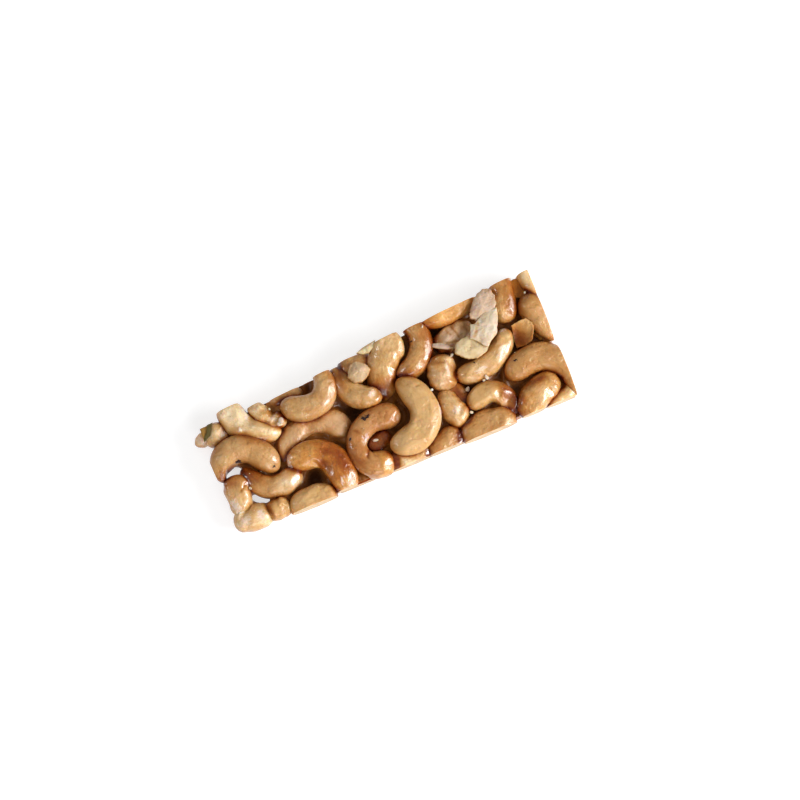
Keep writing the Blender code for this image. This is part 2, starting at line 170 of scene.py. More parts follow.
# Rings from the middle of the upper face over the edge to the middle of the lower one: share of
# the way out to the rim, share of the way down.
PLATE_RINGS = [(0.22, 0.0), (0.42, 0.0), (0.6, 0.0), (0.76, 0.0), (0.89, 0.0), (0.97, 0.01),
               (1.0, 0.1), (1.0, 0.45), (0.97, 0.85), (0.88, 1.0), (0.6, 1.0), (0.3, 1.0)]
PLATE_SHARP = 46
PLATES = [
    Plate("small_piece", 11.6, 6, -0.3, 0.04, 0.05, "cream", 0.25, 0.2,
          [(50.9, 0.7), (51.3, 4), (51.9, 6.6), (52, 8.5), (55, 8.8), (57.7, 8.6), (59.1, 6.4),
           (59.3, 5), (58.2, 3), (56.9, 1), (54, 0.2)]),
    Plate("pale_chip", 13.2, 3.4, 0.9, -0.02, 0.06, "chip", 0.3, 0,
          [(-8, 14), (-7.1, 16.4), (-5.4, 18.1), (-3.1, 18.4), (-1.2, 17), (0.1, 15.5),
           (0.4, 13.8), (-1.3, 12.1), (-3.9, 11), (-6.6, 11.6)]),
    Plate("back_sliver", 12.6, 2.2, 0.5, 0.04, 0.1, "flake_warm", 0.2, 0,
          [(-1.7, 21.2), (0.8, 22.1), (6.2, 22.8), (4.6, 20.6), (2.4, 19.5), (0, 19.9)]),
    Plate("flake_a", 13.5, 2.9, 0.7, -0.05, 0.02, "ash", 0.2, 0,
          [(39.4, 16.2), (40.8, 18.9), (43.2, 21.7), (45.7, 23.4), (48, 24), (50.1, 23.3),
           (50.9, 20.5), (50.2, 17.2), (48.6, 15.5), (45.5, 15), (41.5, 14.4)]),
    Plate("flake_c", 13, 2.5, 0.6, -0.02, 0.08, "flake_warm", 0.15, 0,
          [(29.6, 7.1), (31, 9.8), (33.4, 10.7), (36.2, 11), (37.8, 9.4), (40, 6.9), (41.6, 4.5),
           (39.9, 3.1), (36.5, 2.3), (33.1, 3.4), (30.8, 5.6)]),
    Plate("flake_b", 14, 1.6, 0.7, -0.06, -0.03, "flake", 0.1, 0,
          [(36.4, 9.4), (37.6, 11.8), (38.6, 14.1), (40.1, 13.6), (43.6, 15.6), (46.3, 16.2),
           (49.7, 16), (48.9, 13), (47.2, 9.9), (45.9, 7.3), (43.1, 5.9), (41, 4), (39.6, 5.6),
           (38.4, 7.6)]),
    Plate("grey_sliver", 11.4, 1.3, 0.3, 0.03, 0, "ash", 0.1, 0,
          [(23.4, 12.6), (23.9, 13.7), (26.6, 12.9), (28.9, 11), (30.2, 9.2), (28, 9.6),
           (25.2, 11.2)]),
]
# Sheets and beads of clear caramel between nuts, each with a colour of its own and no coat.
FILMS = [
    Plate("window", 9.9, 0.9, 0.1, 0.02, 0.08, (152, 112, 54), 1, None,
          [(-62.2, 19.1), (-57.4, 19.3), (-59.9, 15.7), (-62.5, 14.3)]),
    # A darker olive strip along the window's right and lower edges.
    Plate("window_dark_edge", 10.1, 0.8, 0.1, 0.02, 0.08, (92, 80, 44), 1, None,
          [(-59.4, 19.3), (-57.2, 19.4), (-59.8, 15.6), (-62.6, 14.2), (-62.3, 15.4),
           (-60.5, 16.9)]),
    Plate("brown_pool", 8.4, 1.4, -0.5, 0.06, 0.05, (150, 92, 40), 1, None,
          [(-37.6, 18.4), (-33, 18.6), (-32.4, 16.4), (-33.6, 14.4), (-35.2, 12.8), (-37.2, 13.6),
           (-38, 16)]),
    Plate("amber_strip", 8.6, 1, -0.3, 0, 0, (186, 112, 38), 1, None,
          [(58.4, 23.7), (62.4, 23.7), (62.5, 17), (60.7, 15.6), (58, 17.6)]),
    Plate("dark_bead", 7.4, 1.2, 0.5, 0, 0, (128, 84, 26), 1, None,
          [(58.4, 2.9), (59.4, 4.1), (60.6, 1.9), (61.6, 0), (59.6, 0.2)]),
]

# What the pieces look like on a screen before the caramel, 0 to 255.
TONES = {
    "tan": (205, 163, 110), "light": (222, 187, 136), "cream": (233, 208, 165),
    "gold": (221, 171, 102), "orange": (200, 150, 97), "rose": (216, 180, 140),
    "straw": (214, 176, 122), "ash": (198, 172, 148), "cut": (224, 198, 160),
    "crumb": (236, 218, 196), "chip": (200, 172, 136), "flake": (215, 198, 173),
    "flake_warm": (211, 191, 150),
}
CARAMEL_TINT = np.array([0.8, 1.62, 3.1])  # how fast caramel takes up red, green and blue
POOL_DEPTH, POOL_REACH = 0.7, 1.3  # its depth on a nut just above the slab, and how far up
CREVICES = [(1.25, 0.42), (0.38, 1.5)]  # darkening beside other nuts, from caramel in the crevices and painted shade, and how far from them
# Darkening on steep sides, from caramel and painted shade; how much lighter, as painted light,
# those that face the light's way are, and how much darker, as painted shade, the others.
STEEP_DEPTH, STEEP_LIT, STEEP_SHADED, STEEP_POWER = 0.26, 0.38, 0.4, 1.3
# The way towards the light, across the layout.
LIGHT_WAY = np.array([0.78, -0.62, 0.0])
# How much the spots below darken, how much pressed hollows and creases darken (caramel and painted
# shade), and the share of the darkening drawn in streaks.
GLAZE_AND_SHADE_DEPTH, MARK_DEPTH, STREAK_SHARE = 0.7, 0.7, 0.45

# Places where a nut is darkened: thick caramel at some, painted shade on shaded sides and in a
# hollow at others; a strength below 0 makes it paler. Place, half length, half width, turn,
# strength.
GLAZE_AND_SHADE = [
    (-22.8, -6.4, 6.4, 4.2, -70, 1.3), (-25.5, -12, 6.5, 3.2, -80, 0.45),
    (-20.8, -13.5, 5, 1.6, -85, 0.8), (-28.6, -9.4, 2.4, 1.2, -60, 0.5),
    (-10.4, 15.5, 5.5, 2.8, -80, 0.7), (2.3, 6.4, 4.5, 3.4, -60, 0.9), (24.6, 14, 7, 2.2, 76, 1.4),
    (12.6, 6.6, 5.5, 1.6, -10, 0.4), (57, 17.5, 8, 2.6, 76, 1.3), (51.6, 21, 2.6, 1.6, 60, 0.6),
    (-59.6, -3.2, 3.4, 1.6, 0, 0.7), (-56.4, -15.2, 2.4, 1.4, 20, 0.45),
    (-52, -15.2, 1, 1.6, 0, 0.6), (-61, 0, 2.4, 2.4, 0, 0.8), (-48.5, 10.4, 5, 1.4, -50, 0.4),
    (-42.8, 6.2, 3.4, 1.6, -50, 0.4), (52.4, -12.6, 4.6, 1.8, 0, 0.9),
    (25.2, -5.6, 3.6, 1.7, 100, 0.9), (-15.6, -14.6, 2.6, 1.4, 100, 0.4),
    (-59, -17.5, 2.6, 2, 0, 0.25), (-50.8, -17.6, 1.2, 3, 0, 0.4), (4.4, -1.6, 3.4, 1.6, -60, 0.7),
    (42.6, -14, 6.5, 3.2, -72, 1.6), (53.4, 4.6, 3.6, 2, 100, 1.5), (-50.6, -4, 5, 2.4, -50, 0.8),
    (-42, -10.4, 6, 3.4, -10, -0.35), (52, -13.4, 4, 1.6, 10, 0.5), (-46.5, 8, 4.5, 1.6, -45, 0.3),
    (37.8, 15.2, 3.6, 3, 0, 0.4), (-52.6, -2.8, 3.8, 2.6, -40, 0.7),
    (-36.6, 15.4, 2.4, 1.6, 50, 0.8), (52.8, -12.9, 3.6, 1.4, 0, 0.5), (35.5, 3.4, 6, 1, 0, 0.8),
    (-61, 17.4, 1.8, 1.4, 30, 0.8),
]
# Scorched marks on the skin: place, half length, half width, turn.
SCORCH = [
    (-54.4, 2.9, 1.3, 0.8, -20), (-43.7, -3.5, 0.55, 0.45, 0), (-8.9, -0.6, 1.9, 0.5, -28),
    (-7.3, -0.9, 1.5, 0.5, 25), (-8.5, -0.9, 1.4, 0.45, 75), (-15.8, -5.6, 0.55, 0.45, 0),
    (47.8, -3.7, 0.8, 0.45, 0), (34.7, 1.6, 0.4, 0.4, 0), (17.4, 17.4, 0.6, 0.35, 0),
]
# Creases pressed into a nut and darkened, by caramel and painted shade: from one place to another,
# width, depth.
CREASES = [
    (-13.4, -3.4, -11, -7.2, 0.35, 0.5), (-11.4, -11.6, -13, -14, 0.4, 0.7),
    (-57.4, -6.8, -55, -5, 0.4, 0.5), (38, 9.3, 39.9, 11.2, 0.4, 0.3),
    (39.9, 11.2, 41.2, 13.4, 0.4, 0.3), (28.6, 12, 32.4, 11.2, 0.4, 0.35),
    (32.6, 16.6, 33.6, 12.4, 0.35, 0.4), (30.4, 16.4, 31, 14.2, 0.3, 0.3),
]
# Round hollows, darkened by caramel and painted shade: piece, place, half length, half width,
# turn, depth.
DENTS = [
    ("broken_gold", -36.6, 14.4, 1.7, 1.3, 60, 2.2),
    ("small_piece", 52.4, 3.5, 4.6, 3.3, 118, 4.8), ("ball_nut", -27.6, -9.8, 0.9, 2.6, 15, 1.2),
    ("corner_front", -51.3, -17.2, 0.6, 3, 10, 1.2),
    ("corner_knob", -51.3, -17.2, 0.6, 3, 10, 1.2),
    ("corner_front", -58.6, -13.6, 0.7, 3.4, 118, 0.9),
    ("corner_side", -58.6, -13.6, 0.7, 3.4, 118, 0.9),
    ("big_left", -48.6, 3.6, 3.2, 2.2, 30, 0.35), ("shadow_nut", -27.2, 4, 2.4, 1.6, 0, 0.6),
]
# Flat facets: nut, place, how far it reaches, how deep, and the way it faces. Those that face
# GLEAM catch the light of the bright box.
GLEAM = (0.49, -0.28, 0.82)
FACETS = [
    ("upper_left", -49, 17, 6.5, 0.5, -0.22, 0.05, 0.97),
    ("upper_left", -46.2, 18, 6, 0.6, 0.52, -0.16, 0.84),
    ("oval_up", 26, 2.4, 5.5, 0.8, 0.8, -0.2, 0.56),
    ("back_knob", -56.2, 14.8, 4, 0.5, 0.5, -0.3, 0.81),
    ("back_knob", -59, 17, 4, 0.6, -0.4, 0.3, 0.86),
    ("corner_side", -60.5, -6, 6, 0.5, -0.2, 0.1, 0.97),
    ("corner_knob", -47.4, -18, 4, 0.6, 0.2, -0.3, 0.93), ("crescent", 9.5, -8, 12, 0.3, 0, 0, 1),
    ("c_nut", -25, 12, 9, 0.35, -0.1, 0.1, 0.98),
    ("front_wedge", 16.5, -18.5, 6, 0.4, 0.3, -0.1, 0.95),
    ("big_left", -57.3, 1.6, 4.2, 0.9, 0.1, -0.95, 0.25),
    ("wrinkled", 29, 15, 4, 0.5, -0.35, 0.3, 0.88),
    ("wrinkled", 33.4, 13, 3.6, 0.4, 0.2, -0.3, 0.93),
    ("wrinkled", 37.6, 14, 3.4, 0.5, 0.5, 0.1, 0.86),
    ("question", 1.6, -3.2, 3.6, 0.3, 0.25, -0.1, 0.96),
    ("big_mid", 9.5, 18, 5, 0.3, 0.15, 0.1, 0.98),
    ("shiny_low", 54.6, -19.2, 2.7, 0.4, 0.42, -0.33, 0.84),
    ("shiny_low", 47, -19, 4.4, 0.5, -0.1, -0.2, 0.97),
    ("front_half_b", 31, -19.6, 9, 0.6, -0.05, 0.1, 0.99),
    ("front_half_a", -35, -18.6, 8, 0.6, 0.1, 0.1, 0.98),
    ("hooked", 32.4, -10.2, 6, 0.4, -0.1, 0.15, 0.98),
    ("back_half", 35, 21.6, 9, 0.6, 0.1, -0.25, 0.96), ("back_arm", -2.4, 5.7, 2.8, 0.3, *GLEAM),
    ("big_mid", 7, 10.8, 2, 0.25, *GLEAM), ("big_mid", 13, 16.8, 2.6, 0.3, *GLEAM),
    ("c_nut", -14.8, 13.2, 4.5, 0.25, *GLEAM), ("left_low", -38.8, -10.2, 3.2, 0.35, *GLEAM),
    ("question", 2.8, -5.6, 2.6, 0.3, 0.49, -0.3, 0.82),
    ("right_curve", 21.6, 12.2, 2.8, 0.3, *GLEAM),
    ("right_curve", 17.2, 7.6, 2.4, 0.3, 0.3, -0.45, 0.84),
    ("banana", 45.2, 0.6, 3.2, 0.3, 0.45, -0.32, 0.83),
    ("banana", 36, -2.6, 3.4, 0.3, 0.15, -0.42, 0.89),
    ("oval_down", 22.4, -11.6, 2.4, 0.35, 0.45, -0.3, 0.84),
    ("hooked", 37.4, -12, 2.4, 0.35, 0.38, -0.34, 0.86),
    ("hooked", 41.2, -16.4, 4.4, 0.8, -0.25, 0.1, 0.96),
    ("back_upright", 52.4, 12, 3.4, 0.5, 0.14, -0.5, 0.85),
    ("ball_nut", -31.2, -9, 3, 0.3, 0.15, -0.5, 0.85),
    ("ball_nut", -21.6, -18, 2.2, 0.3, 0.36, -0.34, 0.86),
    ("broken_gold", -37.4, 11.7, 2.6, 0.35, 0.3, -0.4, 0.86),
    ("question_foot", -7, -18.6, 2.8, 0.4, 0.45, -0.35, 0.82),
]
# Places painted pale pinkish white: crazed glaze at some, painted highlights at others: place,
# half length, half width, turn.
CRAZED_AND_HIGHLIGHT = [
    (-38.3, -4, 2.8, 1, 75), (-21.4, -19, 3.4, 1.8, 60), (-24, -17.6, 2.4, 0.7, 62),
    (-10.8, -7.8, 2.6, 0.9, 50), (-2.6, 6, 1.9, 1.3, 40), (22.2, -11.4, 1.9, 1.9, 0),
    (44.8, 1, 3, 1.6, 45), (35.8, -1.8, 2.8, 1.1, 8), (-61.2, -11.5, 2, 4.2, 8),
    (-60, -17, 3, 1.6, 20), (-54.6, -17.2, 1.4, 2.4, 0), (25.2, 3.2, 0.8, 3.6, -8),
    (-45.8, 18.2, 1.3, 4, -4), (-37.6, 12, 2.4, 0.9, -12), (-49, 12.6, 1.8, 0.8, -10),
    (-55.4, 14.4, 1.6, 0.9, 30), (16.6, -9.6, 4.4, 0.7, 76), (48.6, 8.4, 1.6, 1, -20),
]
# Pieces that grow into each other, with no crevice between them.
JOINED = [
    {"question", "question_foot"}, {"corner_side", "corner_front"}, {"far_tip", "back_knob"},
    {"corner_front", "corner_knob"}, {"big_right", "corner_low"},
    {"corner_knob", "front_half_a"}, {"oval_up", "side_shadow"}, {"oval_down", "side_shadow"},
    {"oval_up", "oval_down"},
]
# Loose white crumbs that show: place, size.
CRUMBS = [
    (-49.4, 12.8, 1.5), (-35.1, 10.2, 2.7), (-36, 9.2, 2), (-37.3, 15.7, 0.9), (17.7, -2.3, 1.6),
    (17, -1.4, 1.1), (28.6, 7.2, 1.5), (36.4, -4.9, 1.7), (35.3, -5.4, 1.1), (29, -5.6, 2),
    (26.6, -13.8, 1.4), (-54.3, -7, 1.2), (-7.9, -9.3, 1.9), (23.2, 20.4, 0.9), (60.2, 19.6, 1),
    (61.4, 17.4, 1.1),
]
# Still smaller ones scattered at random.
DUST_COUNT = 45
DUST_X, DUST_Y, DUST_SIZE = (-60, 62), (-18, 20), (0.15, 0.38)
CRUMB_RINGS, CRUMB_SIDES = 8, 9
STONE_FACES, STONE_POWER = 9, 14  # a higher power makes sharper edges between faces

# ---- camera and light
VIEW_TURN, VIEW_HEIGHT = -24.0, 80.0  # from straight in front, - to its left, and up
VIEW_DISTANCE = 0.62  # metres
VIEW_LENS, SENSOR, PICTURE_PX = 80.0, 36.0, 800.0
VIEW_AIM = (2.87, -0.27, 10.0)  # the point that the photograph is lined up on
VIEW_OFFSET_PX = (-8.0, 4.0)  # where it lies from the picture's middle
FLOOR_SIZE = 3.0  # metres from its middle to each side
FLOOR_GREY, FLOOR_GLOW, ROOM_GLOW = 0.5, 0.66, 0.2
# Soft boxes: how far to the picture's right, to its top and up they stand, their distance and
# size in metres, power in watts, whether they show in the gloss and whether they light surfaces.
BOXES = [
    ("box_right", 1.0, -0.12, 0.6, 0.75, (0.5, 0.42), 6.7, True, True),
    ("box_gleam", 1.0, -0.18, 0.62, 0.74, (0.24, 0.2), 5.0, True, False),
    ("box_front", 0.25, -1.0, 0.6, 0.75, (0.4, 0.3), 2.0, True, True),
    ("box_left", -1.0, 0.0, 0.75, 0.8, (0.14, 0.2), 1.2, True, True),
    ("box_above", 0.0, 0.1, 1.0, 0.9, (0.8, 0.8), 0.9, False, True),
]


def linear(rgb):
    """Colour given as 0 to 255 on a screen, as linear light."""
    value = np.array(rgb, float) / 255
    return np.where(value < 0.04045, value / 12.92, ((value + 0.055) / 1.055) ** 2.4)


def side_planes():
    """The bar's upright sides as a point and an outward direction, in mm."""
    planes = []
    for index, start in enumerate(CORNERS):
        end = CORNERS[(index + 1) % 4]
        along = Vector((end[0] - start[0], end[1] - start[1], 0.0)).normalized()
        planes.append((Vector((start[0], start[1], 0.0)), Vector((along.y, -along.x, 0.0))))
    return planes


SIDES = side_planes()


def turned(degrees):
    """Cosine and sine of an angle."""
    return math.cos(math.radians(degrees)), math.sin(math.radians(degrees))


def placed(x, y, along, across, cos, sin):
    """Where steps along and across a turned direction lead from a place."""
    return x + along * cos - across * sin, y + along * sin + across * cos


def spot(points, x, y, half_length, half_width, turn):
    """1 in the middle of a soft oval seen from above, falling off as exp(-r squared)."""
    cos, sin = turned(turn)
    dx, dy = points[:, 0] - x, points[:, 1] - y
    along = (dx * cos + dy * sin) / half_length
    across = (dy * cos - dx * sin) / half_width
    return np.exp(-(along ** 2 + across ** 2))


def slab_top(x, y):
    """Caramel level at a place: slow sine waves less a round dip in each deep gap."""
    height = SLAB_TOP + SLAB_WAVE * (0.6 * np.sin(0.31 * x + 1.0) * np.cos(0.27 * y)
                                     + 0.4 * np.sin(0.83 * x - 0.52 * y))
    for px, py, radius, depth in POCKETS:
        height = height - depth * np.exp(-((x - px) ** 2 + (y - py) ** 2) / radius ** 2)
    return height


# ---- a nut's surface
def centre_line(nut, t):
    """The nut's bent middle line, its heading and its share of the full width at t.

    Heading = length / (2 bend) (t + hook t^2 / 2 - elbow t^3 / 3), place = the running sum of
    its cosine and sine, share = sqrt(1 - |t|^3.4) (1 - taper t) (1 - waist (1 - t^2))
    (1 - point t^3), the last of these only in the end half.
    """
    fine = np.linspace(-1.0, 1.0, LINE_STEPS + 1)
    curve = 0.0 if nut.bend == 0 else 1.0 / nut.bend
    turn = curve * nut.length / 2 * (fine + nut.hook * fine ** 2 / 2 - nut.elbow * fine ** 3 / 3)
    middle = (turn[1:] + turn[:-1]) / 2
    step = nut.length / LINE_STEPS
    line_x, line_y = (np.concatenate([[0.0], np.cumsum(way(middle)) * step])
                      for way in (np.cos, np.sin))
    flat_x = np.interp(t, fine, line_x - line_x[LINE_STEPS // 2])
    flat_y = np.interp(t, fine, line_y - line_y[LINE_STEPS // 2])
    height = nut.z + t * nut.length / 2 * math.tan(math.radians(nut.rise))
    place = np.stack([*placed(nut.x, nut.y, flat_x, flat_y, *turned(nut.heading)), height], -1)
    share = np.sqrt(np.clip(1 - np.abs(t) ** END_ROUND, 0, 1))
    share = share * (1 - nut.taper * t) * (1 - nut.waist * (1 - t ** 2))
    share = share * (1 - nut.point * np.maximum(t, 0) ** 3)
    return place, np.interp(t, fine, turn) + math.radians(nut.heading), share


def relief(t, a, random, strength):
    """Unevenness of a skin: a sum of slow sine waves in t and a, less two soft round dents."""
    out = np.zeros_like(t)
    for rank in range(SKIN_WAVES):
        around = random.integers(1, 5)
        along = random.uniform(1.0, 4.5)
        phase = random.uniform(0, 2 * math.pi)
        out += strength / (1 + 0.6 * rank) * np.sin(around * a + along * math.pi * t + phase)
    for _ in range(SKIN_DENTS):
        t0, a0 = random.uniform(-0.7, 0.7), random.uniform(0, 2 * math.pi)
        gap = (a - a0 + math.pi) % (2 * math.pi) - math.pi
        out -= random.uniform(0.02, 0.07) * np.exp(-((t - t0) / 0.22) ** 2 - (gap / 0.5) ** 2)
    return out


def round_grid(rings, sides):
    """The angle from pole to pole and the angle around, ring by ring, then the two poles."""
    polar = np.repeat(math.pi * (np.arange(1, rings) / rings), sides)
    around = np.tile(np.arange(sides) * 2 * math.pi / sides, rings - 1)
    return np.append(polar, [0.0, math.pi]), np.append(around, [0.0, 0.0])


def nut_surface(nut, rings, sides, random, strength):
    """Points of a nut and their places on the straightened nut.

    P(t, a) = line(t) + share(t) swell (kidney width / 2 c(a) across + height / 2 s(a) up), where
    c and s are cos a and sin a to the power 2 / 2.35, so the top is flatter and the shoulders
    fuller than an ellipse's, swell is one plus the relief, and kidney draws in the side inside
    the bend by up to 0.09.
    """
    polar, a = round_grid(rings, sides)
    t = -np.cos(polar)
    place, heading, share = centre_line(nut, t)
    inner = 0.0 if nut.bend == 0 else math.copysign(min(1.0, 14 / abs(nut.bend)), nut.bend)
    kidney = 1 - KIDNEY * np.maximum(inner * np.cos(a), 0) ** 2 * (1 - t ** 2)
    swell = 1 + relief(t, a, random, strength)
    full_cos, full_sin = (np.sign(part) * np.abs(part) ** (2 / SECTION_POWER)
                          for part in (np.cos(a), np.sin(a)))
    side = share * swell * kidney * nut.width / 2 * full_cos
    up = share * swell * nut.height / 2 * full_sin
    points = place + np.stack([-side * np.sin(heading), side * np.cos(heading), up], -1)
    return points, np.stack([t * nut.length / 2, side, up], -1)


def tube_faces(rings, sides):
    """Quads between the rings, and the triangles that close the two poles."""
    around = np.arange(sides)
    after = (around + 1) % sides
    start = np.arange(rings - 2)[:, None] * sides
    quads = np.stack(
        [start + around, start + after, start + sides + after, start + sides + around], -1)
    low, high, last = (rings - 1) * sides, (rings - 1) * sides + 1, (rings - 2) * sides
    first_cap = np.stack([np.full(sides, low), after, around], -1)
    last_cap = np.stack([np.full(sides, high), last + around, last + after], -1)
    return quads.reshape(-1, 4).tolist() + first_cap.tolist() + last_cap.tolist()


def press_marks(points, name, middle_z, full=PRESS_HEIGHT):
    """Press facets, hollows and creases into a nut's upper skin, and give how much darker the
    hollows and creases are, for caramel in them and painted shade.

    A facet pushes what stands out beyond its plane back to a tenth, less so towards its reach. A
    hollow lowers the skin by depth exp(-r^2) and a crease by depth exp(-(distance / width)^2).
    Both come in over the height full above the piece's middle.
    """
    for owner, x, y, reach, depth, *way in FACETS:
        if owner == name:
            way = np.array(way) / np.linalg.norm(way)
            aside = np.hypot(points[:, 0] - x, points[:, 1] - y) + 99 * (points[:, 2] < middle_z)
            middle = points[np.argmin(aside)].copy()
            out = (points - middle) @ way + depth
            hold = np.clip(2 * (1 - np.linalg.norm(points - middle, axis=1) / reach), 0, 1)
            points -= (0.9 * hold * np.maximum(out, 0))[:, None] * way
    top = np.clip((points[:, 2] - middle_z) / full, 0, 1)
    # How much darker the hollows and creases become: caramel lying in them and painted shade.
    dark = np.zeros(len(points))
    for owner, *oval, depth in DENTS:
        if owner == name:
            press = spot(points, *oval)
            points[:, 2] -= depth * press * top
            dark = np.maximum(dark, 0.35 * depth * press * top)
    for x0, y0, x1, y1, width, depth in CREASES:
        along = np.array([x1 - x0, y1 - y0])
        share = ((points[:, 0] - x0) * along[0] + (points[:, 1] - y0) * along[1]) / (along @ along)
        near = np.clip(share, 0, 1)
        gap = np.hypot(points[:, 0] - x0 - near * along[0], points[:, 1] - y0 - near * along[1])
        press = np.exp(-(gap / width) ** 2)
        points[:, 2] -= depth * press * top
        dark = np.maximum(dark, 1.6 * depth * press * top)
    return dark


# ---- caramel over the skin
def nut_lines():
    """Each nut's middle line as points, its half width there, and its width to height."""
    lines = {}
    for nut in NUTS:
        place, _, share = centre_line(nut, np.linspace(-0.97, 0.97, 25))
        lines[nut.name] = place, share * nut.width / 2, nut.width / nut.height
    return lines


NUT_LINES = nut_lines()


def nearest_nut(points, own):
    """Gap in mm from each point to the skin of the nearest other nut."""
    nearest = np.full(len(points), FAR)
    centre = points.mean(axis=0)
    reach = np.abs(points - centre).max() + 26
    for name, (line, half, ratio) in NUT_LINES.items():
        far = np.hypot(*(line.mean(axis=0) - centre)[:2]) > reach
        if name == own or far or {name, own} in JOINED:
            continue
        step = points[:, None, :] - line[None, :, :]
        step[:, :, 2] *= ratio
        gap = np.sqrt((step ** 2).sum(axis=2)) - half
        nearest = np.minimum(nearest, gap.min(axis=1))
    return np.maximum(nearest, 0)


def darkened_tone(tone, depth):
    """A tone darkened by a depth, which stands for caramel and, on the nuts and pieces, painted
    shade too: tone exp(-depth tint).
    """
    return linear(TONES[tone]) * np.exp(-depth[:, None] * CARAMEL_TINT)


def drawn_streaks(straight, random):
    """Uneven caramel drawn out along a nut: sum of sin(k a + lean x + phase) / sqrt(k)."""
    a = np.arctan2(straight[:, 2], straight[:, 1])
    out = np.zeros(len(a))
    for k in range(2, 9):
        phase, lean = random.uniform(0, 2 * math.pi), random.normal() * 0.5
        out += np.sin(k * a + lean * straight[:, 0] + phase) / math.sqrt(k)
    return out * 0.4


def skin_colour(points, normals, nut, pressed, streaks):
    """The piece's tone darkened, how much, the scorched marks, and the pale crazing and painted
    highlights.

    It is darkened near the slab, where caramel pools; beside other nuts and in what was pressed
    in, by caramel and painted shade; at the listed spots, by thick caramel at some and painted
    shade at others; and on steep sides, by caramel and painted shade, with more painted shade on
    those that face away from the light and painted light on those that face it. The darkening lies
    in streaks along the nut.
    """
    level = slab_top(points[:, 0], points[:, 1])
    depth = POOL_DEPTH * np.exp(-np.maximum(points[:, 2] - level, 0) / POOL_REACH)
    near = nearest_nut(points, nut.name)
    # Darker beside other nuts: caramel in the crevices and painted shade.
    for share, reach in CREVICES:
        depth += share * np.exp(-near / reach)
    # Steep sides darker, by caramel and painted shade; more painted shade on those that face away
    # from the light, and painted light on those that face it.
    steep = (1 - np.clip(normals[:, 2], 0, 1)) ** STEEP_POWER
    toward = np.clip(normals @ LIGHT_WAY, -1, 1)
    change = np.where(toward < 0, STEEP_SHADED, STEEP_LIT)
    depth += (STEEP_DEPTH - change * toward) * steep
    high = np.clip((points[:, 2] - level) / 2, 0, 1)
    # Darker at the listed spots: thick caramel at some, painted shade at others.
    for *oval, strength in GLAZE_AND_SHADE:
        depth += GLAZE_AND_SHADE_DEPTH * strength * spot(points, *oval) * high
    depth = nut.coat + depth * (1 + STREAK_SHARE * streaks) + MARK_DEPTH * pressed
    high *= np.clip((points[:, 2] - points[:, 2].mean()) / 1.2, 0, 1)
    scorch, crazed_and_highlight = (np.max([spot(points, *oval) * high for oval in ovals], axis=0)
                      for ovals in (SCORCH, CRAZED_AND_HIGHLIGHT))
    return darkened_tone(nut.tone, depth), np.clip(depth, 0, 2), scorch, crazed_and_highlight


# ---- meshes
def write_attribute(mesh, name, kind, values):
    """Store an array on the mesh's points."""
    layer = mesh.attributes.new(name, kind, "POINT")
    field = {"FLOAT_COLOR": "color", "FLOAT_VECTOR": "vector", "FLOAT": "value"}[kind]
    layer.data.foreach_set(field, np.ascontiguousarray(values, np.float32).ravel())


def read(items, field, width):
    """One field of a mesh's points, normals or attribute values, as an array."""
    values = np.empty(len(items) * width)
    items.foreach_get(field, values)
    return values.reshape(-1, width)


def read_points(mesh):
    """The mesh's points as an array."""
    return read(mesh.vertices, "co", 3)


def read_attribute(mesh, name):
    """A stored point attribute as an array."""
    layer = mesh.attributes[name]
    field, width = ("vector", 3) if layer.data_type == "FLOAT_VECTOR" else ("value", 1)
    return read(layer.data, field, width)


def round_mesh(name, parts, rings, sides, smooth=True):
    """A mesh of closed surfaces, all with the same rings and sides."""
    faces = []
    for index, part in enumerate(parts):
        base = index * len(part)
        faces += [[corner + base for corner in face] for face in tube_faces(rings, sides)]
    mesh = bpy.data.meshes.new(name)
    mesh.from_pydata(np.concatenate(parts).tolist(), [], faces)
    if smooth:
        mesh.shade_smooth()
    return mesh


def add(obj):
    """Put an object in the scene."""
    bpy.context.scene.collection.objects.link(obj)
    return obj


def finish_piece(name, mesh, *materials):
    """Give a mesh its materials, move it from layout mm to its place in metres, and make it a
    piece of the bar."""
    for material in materials:
        mesh.materials.append(material)
    places = (read_points(mesh) + LAYOUT_SHIFT) * MM
    mesh.vertices.foreach_set("co", places.ravel())
    mesh.update()
    piece = add(bpy.data.objects.new(name, mesh))
    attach(piece, "root")
    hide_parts("cashew_bar")
    return piece


def cut_by_sides(mesh, out):
    """Slice a nut by the bar's sides and close each cut with a flat face that has a thin rim."""
    bm = bmesh.new()
    bm.from_mesh(mesh)
    for point, outward in SIDES:
        parts = list(bm.verts) + list(bm.edges) + list(bm.faces)
        bmesh.ops.bisect_plane(bm, geom=parts, dist=1e-4, plane_co=point + outward * out,
                               plane_no=outward, clear_outer=True)
        rim = [edge for edge in bm.edges if edge.is_boundary]
        if not rim:
            continue
        for edge in rim:
            edge.smooth = False
        caps = bmesh.ops.edgeloop_fill(bm, edges=rim)["faces"]
        bmesh.ops.recalc_face_normals(bm, faces=list(bm.faces))
        for cap in caps:
            cap.material_index = 1
            cap.smooth = False
        bmesh.ops.inset_individual(bm, faces=caps, thickness=CUT_RIM, depth=CUT_SINK,
                                   use_even_offset=True)
    bm.to_mesh(mesh)
    bm.free()


def stagger_cuts(mesh, out):
    """Move each nut's cut face outward by the nut's own seat, so that no two lie in one plane."""
    places, seats = read_points(mesh), read_attribute(mesh, "seat")
    for point, outward in SIDES:
        on_side = np.abs((places - point) @ np.array(outward) - out) < 0.1
        places[on_side] += seats[on_side] * np.array(outward)
    mesh.vertices.foreach_set("co", places.ravel())
    mesh.update()


